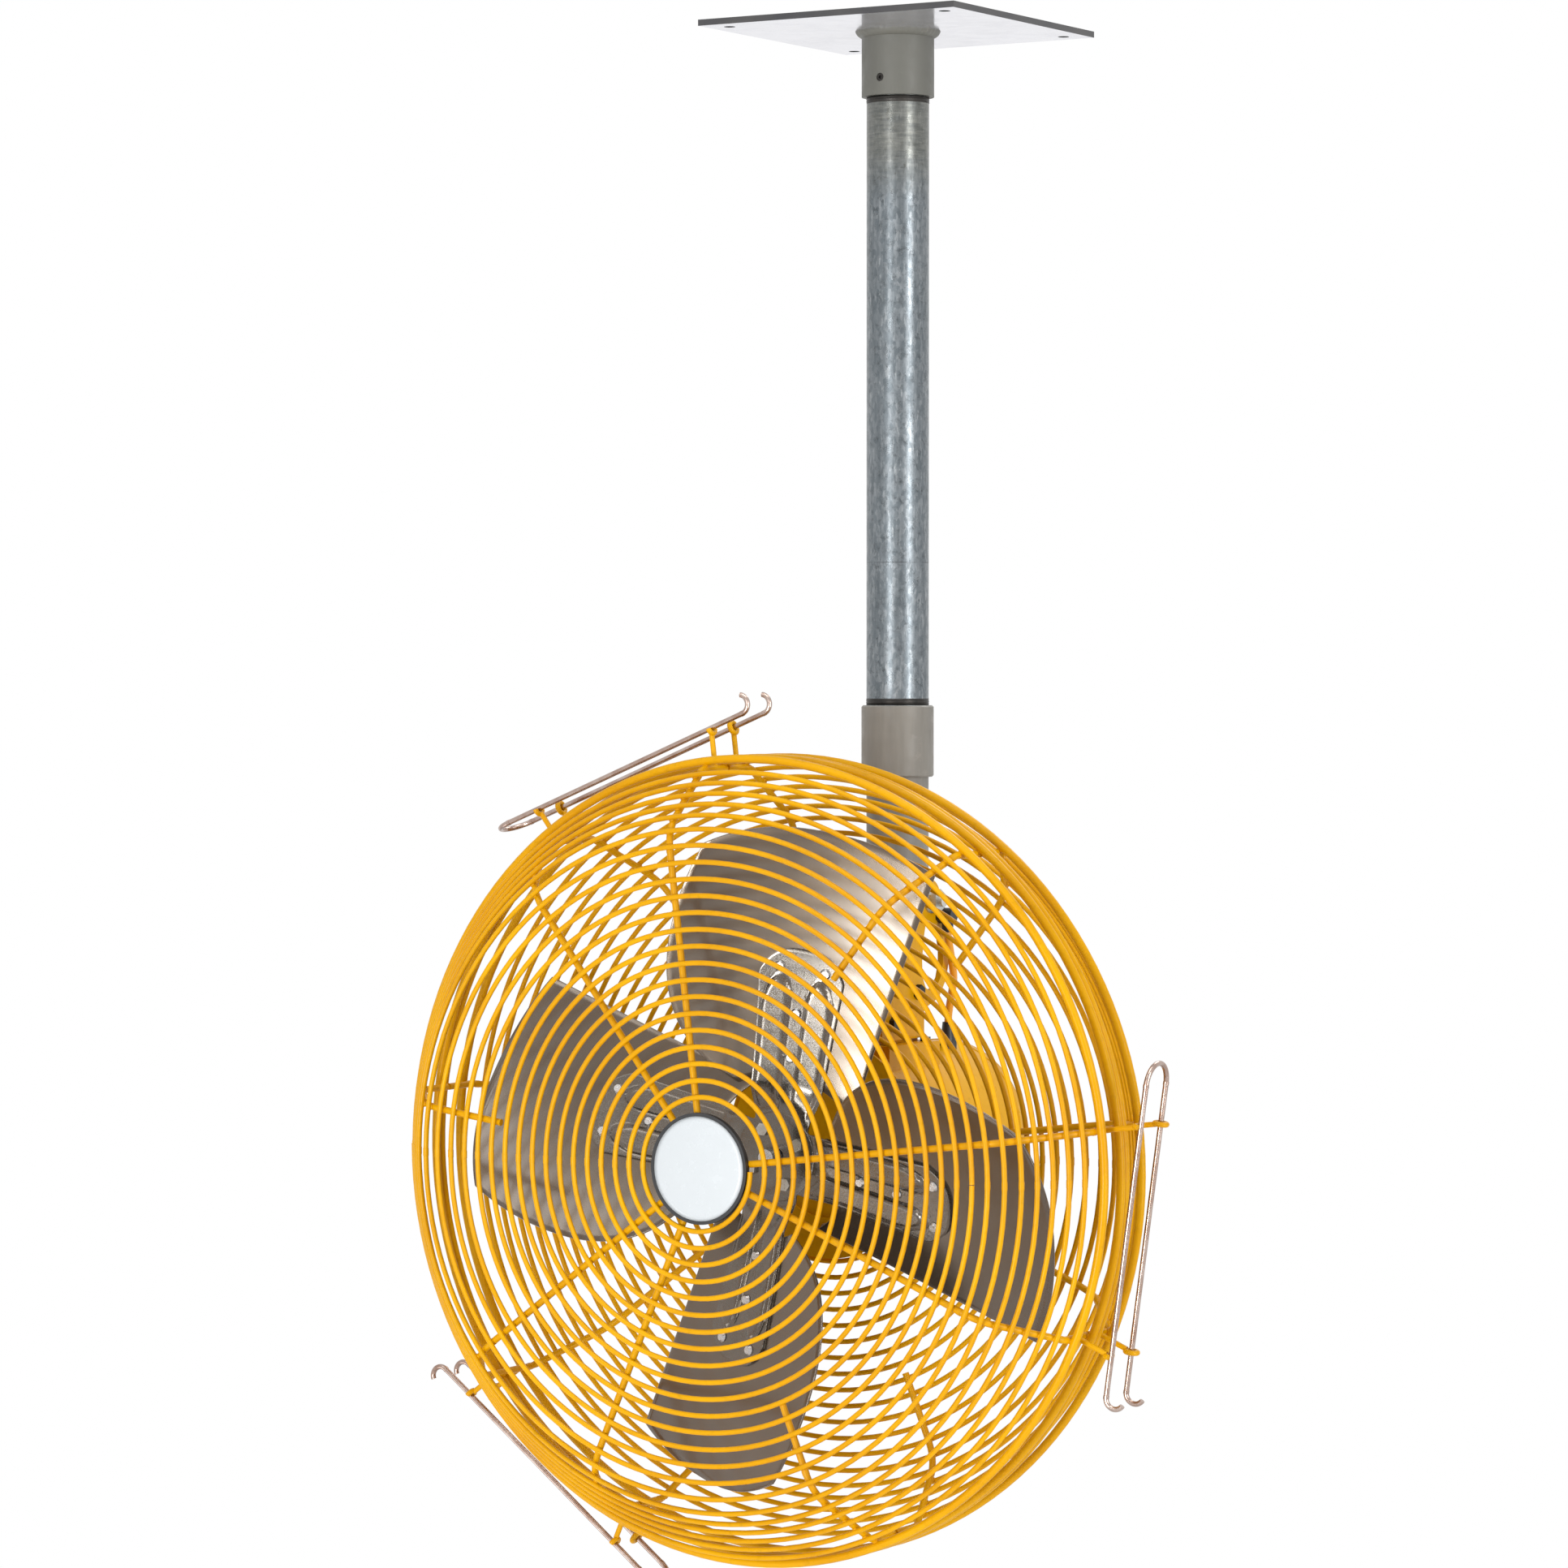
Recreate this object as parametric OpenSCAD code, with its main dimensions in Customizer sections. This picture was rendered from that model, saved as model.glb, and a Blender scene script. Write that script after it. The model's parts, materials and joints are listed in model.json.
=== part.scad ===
// Drop-pipe air circulator: a ceiling plate, a steel pipe and a caged fan head.
// Frame: +Z up, the pipe on the Z axis, the fan blows towards -Y.
// The origin is the middle of the ceiling plate's top face.

/* [Ceiling plate] */
// Side of the square plate
plate_w = 280; // [220:1:400]
// Thickness of the plate
plate_t = 6; // [4:0.5:12]
// Distance between the plate's screw holes, both ways
plate_holes = 236; // [150:1:240]
// Diameter of the plate's screw holes
plate_hole_d = 11; // [6:0.5:16]

/* [Pipe] */
// Outer diameter of the pipe
pipe_d = 60.3; // [48:0.1:70]
// Wall of the pipe
pipe_wall = 3.9; // [2:0.1:6]
// Pipe that shows between the socket and the coupling
drop_len = 587; // [200:1:1500]
// Length of pipe inside the socket, and inside each half of the coupling
pipe_in = 30; // [15:1:32]
// Outer diameter of the socket and the coupling
socket_d = 70; // [68:0.5:90]
// Length of the ceiling socket below the plate
socket_len = 63; // [45:1:120]
// Length of the coupling
coupling_len = 69; // [68:1:120]
// Pipe that shows below the coupling
stem_len = 135; // [90:1:300]
// Radial clearance of a pipe in its socket
pipe_fit = 0.05; // [0.02:0.01:0.08]
// Diameter of the socket's locking screw
lock_d = 8; // [5:1:12]

/* [Tilt pivot] */
// Height of the pivot above the stem's lower end
pivot_up = 16; // [12:1:40]
// Diameter of the pivot bolt
pivot_d = 12; // [8:1:16]
// Radial clearance of the bolt in the ears and the stem
pin_fit = 0.06; // [0.02:0.01:0.09]
// Thickness of the ears
ear_t = 6; // [4:0.5:10]
// Radius of the ears round the pivot
ear_r = 20; // [18:1:32]
// Gap between the stem and each ear
ear_gap = 0.5; // [0.3:0.1:2]
// Height of the pivot above the fan's axis
pivot_drop = 231; // [220:1:320]

/* [Motor] */
// Diameter of the motor's shell
motor_d = 179; // [170:1:190]
// Length of the motor
motor_len = 245; // [220:1:300]
// Wall of the motor's shell
motor_wall = 5; // [3:0.5:8]
// Diameter of the shaft
shaft_d = 16; // [12:1:20]
// Radial clearance of the shaft in its bearings
shaft_fit = 0.03; // [0.01:0.01:0.08]

/* [Blades] */
// Diameter that the blade tips sweep
fan_d = 624; // [560:1:640]
// Number of blades
blade_n = 4; // [2:1:4]
// Thickness of the blade sheet
blade_t = 2.2; // [1.5:0.1:3]
// Blade angle at the root
root_pitch = 22; // [16:1:30]
// Blade angle at the tip
tip_pitch = 25; // [14:1:28]
// Depth of the blade's hollow
camber = 5; // [2:1:12]
// Angle between an arm of the spider and the line that its blade is pitched about
blade_lead = 12; // [0:1:16]
// Root of the blades in front of the split of the cage
blade_z = -19; // [-26:1:0]

/* [Cage] */
// Distance from the pipe's axis to the split of the cage
cage_y = 243; // [230:1:300]
// Radius of the hoops at the split
rim_r = 372; // [362:1:450]
// Depth of each half of the cage
cage_depth = 118; // [112:1:150]
// Width of the cage's side, from the end of the flat face to the hoops
side_w = 81; // [78:1:95]
// Bend radius between the face and the slope
bend_r = 44; // [35:1:52]
// Angle of the sloping side
slope = 52; // [45:1:58]
// Wire of the spirals
wire_d = 4.8; // [4:0.2:5.6]
// Wire of the ribs
rib_d = 6.4; // [5:0.2:8]
// Wire of the hoops
hoop_d = 8; // [6:0.5:9]
// Step of the spirals from one turn to the next
pitch = 15.3; // [14:0.1:20]
// Angle between the two ribs of a pair
pair_angle = 30; // [24:1:36]
// Diameter of the badge
badge_d = 102; // [90:1:108]

/* [Clips] */
// Wire of the cage clips
clip_d = 5; // [4:0.5:6]
// Length of a clip's legs
clip_len = 282; // [250:1:320]
// Distance between a clip's two legs
clip_gap = 39; // [36:1:44]
// How far outside the hoops the clips lie
clip_out = 17; // [15:1:24]

/* [Hidden] */

yellow = "#f7b10c";
grey_paint = "#7f7c75";
zinc = "#a9aeb2";
steel = "#b9bcc0";
black = "#1b1b1c";
fine = 96;
small = 32;
// Gap that parts welded side by side keep between their round faces
weld_gap = 0.05;
// Gap between round faces that touch lightly
near = 0.3;

socket_end = -plate_t - socket_len;
coupling_top = socket_end - drop_len;
coupling_end = coupling_top - coupling_len;
stem_end = coupling_end - stem_len;
pivot_z = stem_end + pivot_up;
fan_z = pivot_z - pivot_drop;
pipe_r = pipe_d/2;
motor_r = motor_d/2;
flat_r = rim_r - side_w;
clip_r = rim_r + clip_out;
ear_x = pipe_r + ear_gap;
ear_out = ear_x + ear_t;
rib_off = (wire_d + rib_d)/2 + weld_gap;
rib_z = cage_depth - rib_off;
rib_rim_r = rim_r - (hoop_d + rib_d)/2 - weld_gap;
ring_t = 3;
ring_z = rib_z - rib_d/2 - weld_gap;
motor_front = -ring_z;
motor_back = motor_front - motor_len;
bell_t = 20;
shell_front = motor_front - bell_t;
shell_back = motor_back + 25;

// Places children in the fan's own frame: its axis is +Z, forward, and +Y is up
module at_fan() translate([0, -cage_y, fan_z]) rotate([90, 0, 0]) children();
module copies(n, start = 0) for (i = [0:n - 1]) rotate([0, 0, start + i*360/n]) children();
module tube(r, wall, h) difference() {
  cylinder(r=r, h=h, $fn=fine);
  translate([0, 0, -1]) cylinder(r=r - wall, h=h + 2, $fn=fine);
}
module ring(ro, ri, z0, z1) translate([0, 0, z0]) difference() {
  cylinder(r=ro, h=z1 - z0, $fn=fine);
  translate([0, 0, -1]) cylinder(r=ri, h=z1 - z0 + 2, $fn=fine);
}
module hex_head(af, h) cylinder(d=af/cos(30), h=h, $fn=6);
module torus(r, d) rotate_extrude($fn=fine) translate([r, 0]) circle(d=d, $fn=small);

// Ceiling mount
module plate_hole_places() for (x = [-1, 1], y = [-1, 1])
  translate([x*plate_holes/2, y*plate_holes/2, 0]) children();
module ceiling_plate() color("#e4e3ea") difference() {
  translate([-plate_w/2, -plate_w/2, -plate_t]) cube([plate_w, plate_w, plate_t]);
  plate_hole_places() translate([0, 0, -plate_t - 1]) cylinder(d=plate_hole_d, h=plate_t + 2, $fn=small);
}
weld_w = 5.5;
lock_z = -plate_t - socket_len*0.74;
module ceiling_socket() color(grey_paint) difference() {
  union() {
    translate([0, 0, socket_end]) cylinder(d=socket_d, h=socket_len, $fn=fine);
    translate([0, 0, -plate_t - weld_w]) cylinder(r1=socket_d/2, r2=socket_d/2 + weld_w, h=weld_w, $fn=fine);
  }
  translate([0, 0, socket_end - 1]) cylinder(r=pipe_r + pipe_fit, h=pipe_in + 1, $fn=fine);
  translate([0, 0, socket_end - 1]) cylinder(r=pipe_r - pipe_wall, h=socket_len + 0.9, $fn=fine);
  translate([0, 0, lock_z]) rotate([90, 0, 0]) cylinder(d=lock_d, h=socket_d, $fn=small);
}
module socket_lock_screw() color(black) translate([0, 0, lock_z]) rotate([90, 0, 0])
  difference() {
    translate([0, 0, pipe_r + near])
      cylinder(d=lock_d - 2*pin_fit, h=socket_d/2 - pipe_r - near - 1.2, $fn=small);
    translate([0, 0, socket_d/2 - 3.2]) cylinder(d=lock_d/2, h=4, $fn=6);
  }

// Pipe
module pipe_length(top, bottom) translate([0, 0, bottom]) tube(pipe_r, pipe_wall, top - bottom);
module drop_pipe() color(zinc) pipe_length(socket_end + pipe_in - 0.4, coupling_top - pipe_in);
module pipe_coupling() color(grey_paint) difference() {
  translate([0, 0, coupling_end]) rotate_extrude($fn=fine) polygon([[0, 0], [socket_d/2 - 1.5, 0],
    [socket_d/2, 1.5], [socket_d/2, coupling_len - 1.5], [socket_d/2 - 1.5, coupling_len], [0, coupling_len]]);
  translate([0, 0, coupling_end - 1]) cylinder(r=pipe_r + pipe_fit, h=coupling_len + 2, $fn=fine);
}
module stem_pipe() color(grey_paint) difference() {
  pipe_length(coupling_end + pipe_in, stem_end);
  translate([0, 0, pivot_z]) rotate([0, 90, 0])
    cylinder(r=pivot_d/2 + pin_fit, h=pipe_d + 2, center=true, $fn=small);
}

// Tilt pivot: a bolt through the stem and two ears
washer_t = 2;
washer_r = pivot_d*1.05;
nut_h = pivot_d*0.8;
bolt_end = ear_out + washer_t + nut_h + 4;
module on_pivot() translate([0, 0, pivot_z]) rotate([0, 90, 0]) children();
module pivot_bolt() color(zinc) on_pivot() {
  translate([0, 0, -ear_out - washer_t]) cylinder(d=pivot_d, h=ear_out + washer_t + bolt_end, $fn=small);
  translate([0, 0, -ear_out - washer_t - nut_h]) hex_head(pivot_d*1.6, nut_h);
}
module pivot_nut() color(zinc) on_pivot() translate([0, 0, ear_out + washer_t]) difference() {
  hex_head(pivot_d*1.6, nut_h);
  translate([0, 0, -1]) cylinder(r=pivot_d/2 + pin_fit, h=nut_h + 2, $fn=small);
}
module pivot_washers() color(steel) on_pivot() for (z = [-ear_out - washer_t, ear_out])
  ring(washer_r, pivot_d/2 + pin_fit, z, z + washer_t);

// Ears and the saddle that carries the motor
saddle_y0 = -105;
saddle_y1 = -8;
saddle_top = fan_z + motor_r + 7;
saddle_low = fan_z + motor_r*0.8;
flange_top = saddle_top + 58;
flange_x = ear_x - 0.1;
flange_t = 5;
ear_foot = saddle_top + 3;
ear_y0 = saddle_y0 + 12;
ear_y1 = saddle_y1 - 4;
bolt_rows = [[ear_y0 + 20, ear_foot + 16], [ear_y1 - 14, ear_foot + 44]];
ear_bolt_d = 8;
module ear_outline() {
  difference() {
    union() {
      translate([0, pivot_z]) circle(r=ear_r, $fn=fine);
      polygon([[-ear_r*0.94, pivot_z + ear_r*0.34], [ear_r*0.93, pivot_z + ear_r*0.36],
        [ear_r + 10, pivot_z - 10], [ear_back, pivot_z - 32],
        [ear_back + 1, pivot_z - 56], [ear_back - 6, pivot_z - 78],
        [ear_back - 20, pivot_z - 95], [ear_y1, flange_top - 28], [ear_y1, ear_foot], [ear_y0, ear_foot],
        [ear_y0, flange_top - 16]]);
    }
    polygon([for (q = ear_window) [q[0], pivot_z + q[1]]]);
  }
}
// Back edge of an ear, and the corners of the window through it, in front of and below the pivot
ear_back = 37;
ear_window = [[-9, -23], [4, -24], [13, -28], [21, -36], [25, -48], [25, -62],
  [20, -76], [11, -85], [0, -88], [-9, -84],
  [-15, -74], [-16, -58], [-13, -36]];
// Stands a shape drawn in Y and Z up at x0, t thick along X
module standing(x0, t) translate([x0, 0, 0]) rotate([90, 0, 90]) linear_extrude(height=t) children();
module ear_bolt_holes(x0, h) for (p = bolt_rows)
  translate([x0, p[0], p[1]]) rotate([0, 90, 0]) cylinder(r=ear_bolt_d/2 + pin_fit, h=h, $fn=small);
module tilt_ears() color(yellow) for (s = [-1, 1]) difference() {
  standing(s > 0 ? ear_x : -ear_out, ear_t) ear_outline();
  translate([s*(ear_x + ear_t/2), 0, pivot_z]) rotate([0, 90, 0])
    cylinder(r=pivot_d/2 + pin_fit, h=ear_t + 2, center=true, $fn=small);
  ear_bolt_holes(s > 0 ? ear_x - 1 : -ear_out - 1, ear_t + 2);
}
saddle_bolt_x = ear_out + 7;
saddle_x = saddle_bolt_x + 8;
// The saddle's bolts stop short of the stator inside the shell
saddle_bolt_in = saddle_top - fan_z - sqrt(pow(motor_r - motor_wall, 2) - pow(saddle_bolt_x - 3, 2)) - 0.5;
module saddle_bolt_places() for (x = [-1, 1], y = [saddle_y0 + 14, saddle_y1 - 14])
  translate([x*saddle_bolt_x, y, saddle_top]) children();
module motor_saddle() color(yellow) difference() {
  union() {
    translate([-saddle_x, saddle_y0, saddle_low])
      cube([2*saddle_x, saddle_y1 - saddle_y0, saddle_top - saddle_low]);
    for (x = [-flange_x, flange_x - flange_t]) translate([x, saddle_y0 + 6, saddle_top - 1])
      cube([flange_t, saddle_y1 - saddle_y0 - 12, flange_top - saddle_top + 1]);
  }
  translate([0, 0, fan_z]) rotate([90, 0, 0])
    cylinder(r=motor_r + weld_gap, h=3*motor_len, center=true, $fn=fine);
  ear_bolt_holes(-flange_x - 1, 2*flange_x + 2);
  saddle_bolt_places() translate([0, 0, -40]) cylinder(r=3 + pin_fit, h=50, $fn=small);
}
module ear_bolts() color(black)
  for (p = bolt_rows, s = [-1, 1]) translate([0, p[0], p[1]]) rotate([0, s*90, 0]) {
  translate([0, 0, flange_x - flange_t - 7]) cylinder(d=ear_bolt_d, h=ear_t + flange_t + 7.1, $fn=small);
  translate([0, 0, ear_out]) hex_head(13, 5.5);
  translate([0, 0, flange_x - flange_t - 6.5]) hex_head(13, 6.5);
}
module saddle_bolts() color(black) saddle_bolt_places() {
  hex_head(10, 4);
  translate([0, 0, -saddle_bolt_in]) cylinder(d=6, h=saddle_bolt_in + 0.1, $fn=small);
}

// Motor, in the fan's frame
boss_r = 24;
bearing_r = 20;
bearing_w = 12;
front_bearing_z = motor_front - bearing_w - 4;
rear_bearing_z = motor_back + 8;
bolt_ring = motor_r - 13;
// Seat and head of the bolts that hold the two bells together
bolt_seat = motor_back + 7;
bolt_head = 10;
module motor_shell() color(yellow) difference() {
  at_fan() union() {
    ring(motor_r, motor_r - motor_wall, shell_back, shell_front);
    for (z = [shell_back, shell_front - 8]) ring(motor_r, motor_r - motor_wall - 3, z, z + 8);
  }
  saddle_bolt_places() translate([0, 0, -40]) cylinder(r=3 + pin_fit, h=50, $fn=small);
}
module bell_profile(front) rotate_extrude($fn=fine) polygon(front
  ? [[shaft_d/2 + 1, motor_front], [motor_r - 6, motor_front], [motor_r, motor_front - 6],
     [motor_r, shell_front],
     [motor_r - motor_wall - 4, shell_front],
     [motor_r - motor_wall - 4, motor_front - 8], [boss_r, motor_front - 8],
     [boss_r, front_bearing_z - 1], [bearing_r + pin_fit, front_bearing_z - 1],
     [bearing_r + pin_fit, front_bearing_z + bearing_w], [shaft_d/2 + 1, front_bearing_z + bearing_w]]
  : [[0, motor_back], [motor_r - 22, motor_back], [motor_r - 6, motor_back + 7], [motor_r, motor_back + 16],
     [motor_r, shell_back], [motor_r - motor_wall - 4, shell_back], [motor_r - motor_wall - 4, motor_back + 12],
     [boss_r, motor_back + 7], [boss_r, rear_bearing_z + bearing_w + 1],
     [bearing_r + pin_fit, rear_bearing_z + bearing_w + 1],
      [bearing_r + pin_fit, rear_bearing_z], [0, rear_bearing_z]]);
module bolt_holes(z0, z1, r) copies(4, 45) translate([bolt_ring, 0, z0]) cylinder(r=r, h=z1 - z0, $fn=small);
module front_bell() color(yellow) at_fan() difference() {
  bell_profile(true);
  bolt_holes(shell_front - 1, motor_front - 2, 2.5 + pin_fit);
  copies(4) translate([motor_r - 14, 0, motor_front - 14]) cylinder(r=2.5 + pin_fit, h=20, $fn=small);
}
module rear_bell() color(yellow) at_fan() difference() {
  bell_profile(false);
  bolt_holes(motor_back - 1, shell_back + 1, 2.5 + pin_fit);
  bolt_holes(motor_back - 1, bolt_seat, bolt_head/2 + 0.3);
  for (a = [0:24:336]) rotate([0, 0, a])
    translate([motor_r*0.42, -2, motor_back - 1]) cube([motor_r*0.28, 4, 2.6]);
}
module through_bolts() color(zinc) at_fan() copies(4, 45) translate([bolt_ring, 0, 0]) {
  translate([0, 0, bolt_seat - 1]) cylinder(d=5, h=motor_front - 2.5 - bolt_seat + 1, $fn=small);
  translate([0, 0, bolt_seat - 6]) cylinder(d=bolt_head, h=6, $fn=small);
}
// Rotor's bore in the core, and the air gap round the rotor
core_bore = motor_r*0.56;
air_gap = 0.6;
winding_t = motor_r*0.18;
winding_len = motor_len/10;
core_z0 = shell_back + 55;
core_z1 = shell_front - 55;
module stator_core() color("#5b5d60") at_fan() difference() {
  ring(motor_r - motor_wall - pin_fit, core_bore, core_z0, core_z1);
  bolt_holes(core_z0 - 1, core_z1 + 1, 3);
}
module stator_windings() color("#9c4a1f") at_fan() for (z = [core_z0 - winding_len, core_z1])
  translate([0, 0, z]) rotate_extrude($fn=fine) translate([core_bore, 0]) polygon([[3, 0], [winding_t - 4, 0],
    [winding_t, 4], [winding_t, winding_len - 4], [winding_t - 4, winding_len], [3, winding_len],
    [0, winding_len - 4], [0, 4]]);
module bearing(z0) color(steel) at_fan() ring(bearing_r, shaft_d/2 + shaft_fit, z0, z0 + bearing_w);
module front_bearing() bearing(front_bearing_z);
module rear_bearing() bearing(rear_bearing_z);
module rotor_core() color("#8d9094") at_fan()
  ring(core_bore - air_gap, shaft_d/2 + pin_fit, core_z0 - 4, core_z1 + 4);
shaft_tip = blade_z + 22;
module motor_shaft() color(steel) at_fan() translate([0, 0, rear_bearing_z + 1])
  cylinder(d=shaft_d, h=shaft_tip - rear_bearing_z - 1, $fn=fine);

// Lead from the top of the motor to the ear beside the pivot
lead_d = 7.5;
gland = [ear_out, 17, pivot_z - 15];
relief_x = 26;
relief = [relief_x, -cage_y - shell_back - 32, fan_z + sqrt(motor_r*motor_r - relief_x*relief_x)];
// The gland's nozzle points down, this far out from the ear and this far down
nozzle_out = 9.5;
nozzle_len = 16;
lead_route = [relief + [0, 0, 24], relief + [0.5, 0, 32], relief + [3, -1.5, 43], relief + [7.5, -5.5, 55],
  relief + [12.5, -11.5, 67], [42.5, 34, gland[2] - 52], [45, 26, gland[2] - 40], [46, 20.6, gland[2] - 29],
  [46.2, 17.9, gland[2] - 21], gland + [nozzle_out, 0, -nozzle_len]];
function cr(p, i, t) = let (n = len(p) - 1, a = p[max(i - 1, 0)],
  b = p[i], c = p[min(i + 1, n)], d = p[min(i + 2, n)])
  0.5*((2*b) + (c - a)*t + (2*a - 5*b + 4*c - d)*t*t + (3*b - a - 3*c + d)*t*t*t);
function unit(v) = v/norm(v);
lead_steps = 2;
lead_points = [for (i = [0:len(lead_route) - 2], k = [0:lead_steps - 1]) cr(lead_route, i, k/lead_steps),
  lead_route[len(lead_route) - 1]];
module swept(pts, r, sides, first, last) {
  n = len(pts);
  dirs = [for (i = [0:n - 1]) i == 0 ? first : i == n - 1 ? last : unit(pts[i + 1] - pts[i - 1])];
  ref = [0, 1, 0];
  ring_pts = [for (i = [0:n - 1]) let (u = unit(cross(dirs[i], ref)), v = cross(dirs[i], u))
    for (k = [0:sides - 1]) pts[i] + r*cos(360*k/sides)*u + r*sin(360*k/sides)*v];
  polyhedron(points=ring_pts, faces=concat(
    [[for (k = [0:sides - 1]) k]], [[for (k = [sides - 1:-1:0]) (n - 1)*sides + k]],
    [for (i = [0:n - 2], k = [0:sides - 1]) let (a = i*sides + k, b = i*sides + (k + 1)%sides) each
      [[a, a + sides, b + sides], [a, b + sides, b]]]));
}
module motor_lead() color(yellow) swept(lead_points, lead_d/2, 10, [0, 0, 1], [0, 0, 1]);
module strain_relief() color(black) difference() {
  translate(relief - [0, 0, 3]) {
    cylinder(d1=19, d2=19, h=9, $fn=6);
    translate([0, 0, 9]) cylinder(d1=15, d2=11, h=18, $fn=small);
  }
  translate([0, 0, fan_z]) rotate([90, 0, 0])
    cylinder(r=motor_r + weld_gap, h=3*motor_len, center=true, $fn=fine);
}
module lead_gland() color(black) translate(gland) {
  rotate([0, 90, 0]) {
    hex_head(14, 3);
    translate([0, 0, 2.9]) cylinder(d=14.5, h=nozzle_out + 4.4, $fn=small);
  }
  translate([nozzle_out, 0, 0]) rotate([180, 0, 0]) cylinder(d1=12.5, d2=10.5, h=nozzle_len, $fn=small);
}

// Hub, spider and blades, in the fan's frame
tip_r = fan_d/2;
root_r = 75;
arm_t = 3;
hub_r = 42;
screw_ring = hub_r*2/3;
// The spider is flat out to this radius
flat_hub_r = hub_r + 2;
// Places of a blade's rivets across and along its arm
rivet_xy = [[-2, 96], [-2, 138], [-21, 180], [19, 180]];
rivet_d = 6;
function mix(a, b, t) = a + (b - a)*t;
function smooth(t) = let (c = min(1, max(0, t))) c*c*(3 - 2*c);
// The front edge stands out most at this radius
peak_r = tip_r*0.673;
function half_front(r) = tip_r*0.375 - (r < peak_r ? 0.0041 : 0.0029)*pow(r - peak_r, 2);
function half_back(r) = tip_r*0.15 + 0.18*r;
function pitch_at(r) = mix(root_pitch, tip_pitch, (r - root_r)/(tip_r - root_r));
// Height of the blade sheet's middle at the place x across the blade and y along it
function sheet_z(x, y) = let (r = norm([x, y]), u = (x + half_front(r))/(half_front(r) + half_back(r)),
  f = smooth((r - flat_hub_r)/(root_r - flat_hub_r - 3)), across = x*cos(blade_lead) - y*sin(blade_lead))
  f*(-across*tan(pitch_at(r)) - camber*(1 - pow(2*u - 1, 2)));
function tip_shape(u) = tip_r*(1 - (u < 0.5 ? 0.049 : 0.012)*pow(abs(2*u - 1), 3));
function blade_xy(u, v) = let (r = mix(root_r, tip_shape(u), v),
  a = mix(asin(min(0.93, half_front(r)/r)), -asin(min(0.93, half_back(r)/r)), u)) [-r*sin(a), r*cos(a)];
blade_us = [for (i = [0:10]) i/10];
blade_vs = [for (i = [0:10]) i/10];
// Two matched skins of a sheet, joined round the edge. grid(u, v) gives the middle of the sheet
module skin_pair(lower, upper, nu, nv) {
  m = (nu + 1)*(nv + 1);
  function at(i, j) = j*(nu + 1) + i;
  edge = concat([for (i = [0:nu - 1]) at(i, 0)], [for (j = [0:nv - 1]) at(nu, j)],
    [for (i = [nu:-1:1]) at(i, nv)], [for (j = [nv:-1:1]) at(0, j)]);
  polyhedron(points=concat(lower, upper), faces=concat(
    [for (j = [0:nv - 1], i = [0:nu - 1]) each [[at(i, j), at(i + 1, j), at(i + 1, j + 1)],
      [at(i, j), at(i + 1, j + 1), at(i, j + 1)]]],
    [for (j = [0:nv - 1], i = [0:nu - 1]) each [[m + at(i + 1, j + 1), m + at(i + 1, j), m + at(i, j)],
      [m + at(i, j + 1), m + at(i + 1, j + 1), m + at(i, j)]]],
    [for (k = [0:len(edge) - 1]) let (a = edge[k], b = edge[(k + 1)%len(edge)]) each [[b, a, m + a],
      [m + b, b, m + a]]]));
}
function blade_point(u, v, dz) = let (p = blade_xy(u, v)) [p[0], p[1], blade_z + sheet_z(p[0], p[1]) + dz];
module rivet_places() for (p = rivet_xy)
  translate([p[0], p[1], blade_z + sheet_z(p[0], p[1])])
    rotate([0, 0, -blade_lead]) rotate([0, pitch_at(norm(p)), 0]) children();
arm_angle = -11.5;
module blade(k) color("#8d8984") at_fan() rotate([0, 0, arm_angle + (k - 1)*360/blade_n]) difference() {
  skin_pair([for (v = blade_vs, u = blade_us) blade_point(u, v, -blade_t/2)],
    [for (v = blade_vs, u = blade_us) blade_point(u, v, blade_t/2)], 10, 10);
  rivet_places() cylinder(r=rivet_d/2 + pin_fit, h=30, center=true, $fn=small);
}
module blade_1() blade(1);
module blade_2() blade(2);
module blade_3() blade(3);
module blade_4() blade(4);
arm_off = blade_t/2 + arm_t/2 + 0.35;
arm_end = 198;
function arm_half(r) = 27 + 0.06*r;
function arm_xy(u, v) = let (
  y = mix(24, arm_end - 26*pow(abs(2*u - 1), 3), v), w = arm_half(y)) [mix(-w, w, u), y];
// Two raised beads with rounded ends run along each arm, with a valley between them
function bead(u, v) =
  4*smooth(v*9 - 0.8)*smooth(4*(1 - norm([(abs(2*u - 1) - 0.54)/0.34, max(0, (v - 0.72)/0.15)])));
function arm_point(u, v, dz) = let (p = arm_xy(u, v))
  [p[0], p[1], blade_z + sheet_z(p[0], p[1]) + arm_off + bead(u, v) + dz];
arm_us = [0, 0.06, 0.1, 0.23, 0.36, 0.4, 0.5, 0.6, 0.64, 0.77, 0.9, 0.94, 1];
arm_vs = [0, 0.08, 0.115, 0.145, 0.175, 0.2, 0.23, 0.26, 0.29, 0.32, 0.4, 0.5, 0.6, 0.7, 0.75, 0.8, 0.84, 0.88,
  0.94, 1];
module spider() color("#a8a7a6") at_fan() difference() {
  union() {
    copies(blade_n, arm_angle) skin_pair([for (v = arm_vs, u = arm_us) arm_point(u, v, -arm_t/2)],
      [for (v = arm_vs, u = arm_us) arm_point(u, v, arm_t/2)], 12, len(arm_vs) - 1);
    translate([0, 0, blade_z + arm_off - 2]) cylinder(r=hub_r, h=4, $fn=fine);
  }
  translate([0, 0, hub_face - 20]) cylinder(r=shaft_d/2 + 0.5, h=60, $fn=small);
  copies(blade_n, arm_angle) rivet_places() cylinder(r=rivet_d/2 + pin_fit, h=30, center=true, $fn=small);
  copies(4, 25) translate([screw_ring, 0, hub_face - 20]) cylinder(r=3 + pin_fit, h=60, $fn=small);
}
hub_face = blade_z + arm_off - 2;
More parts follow.
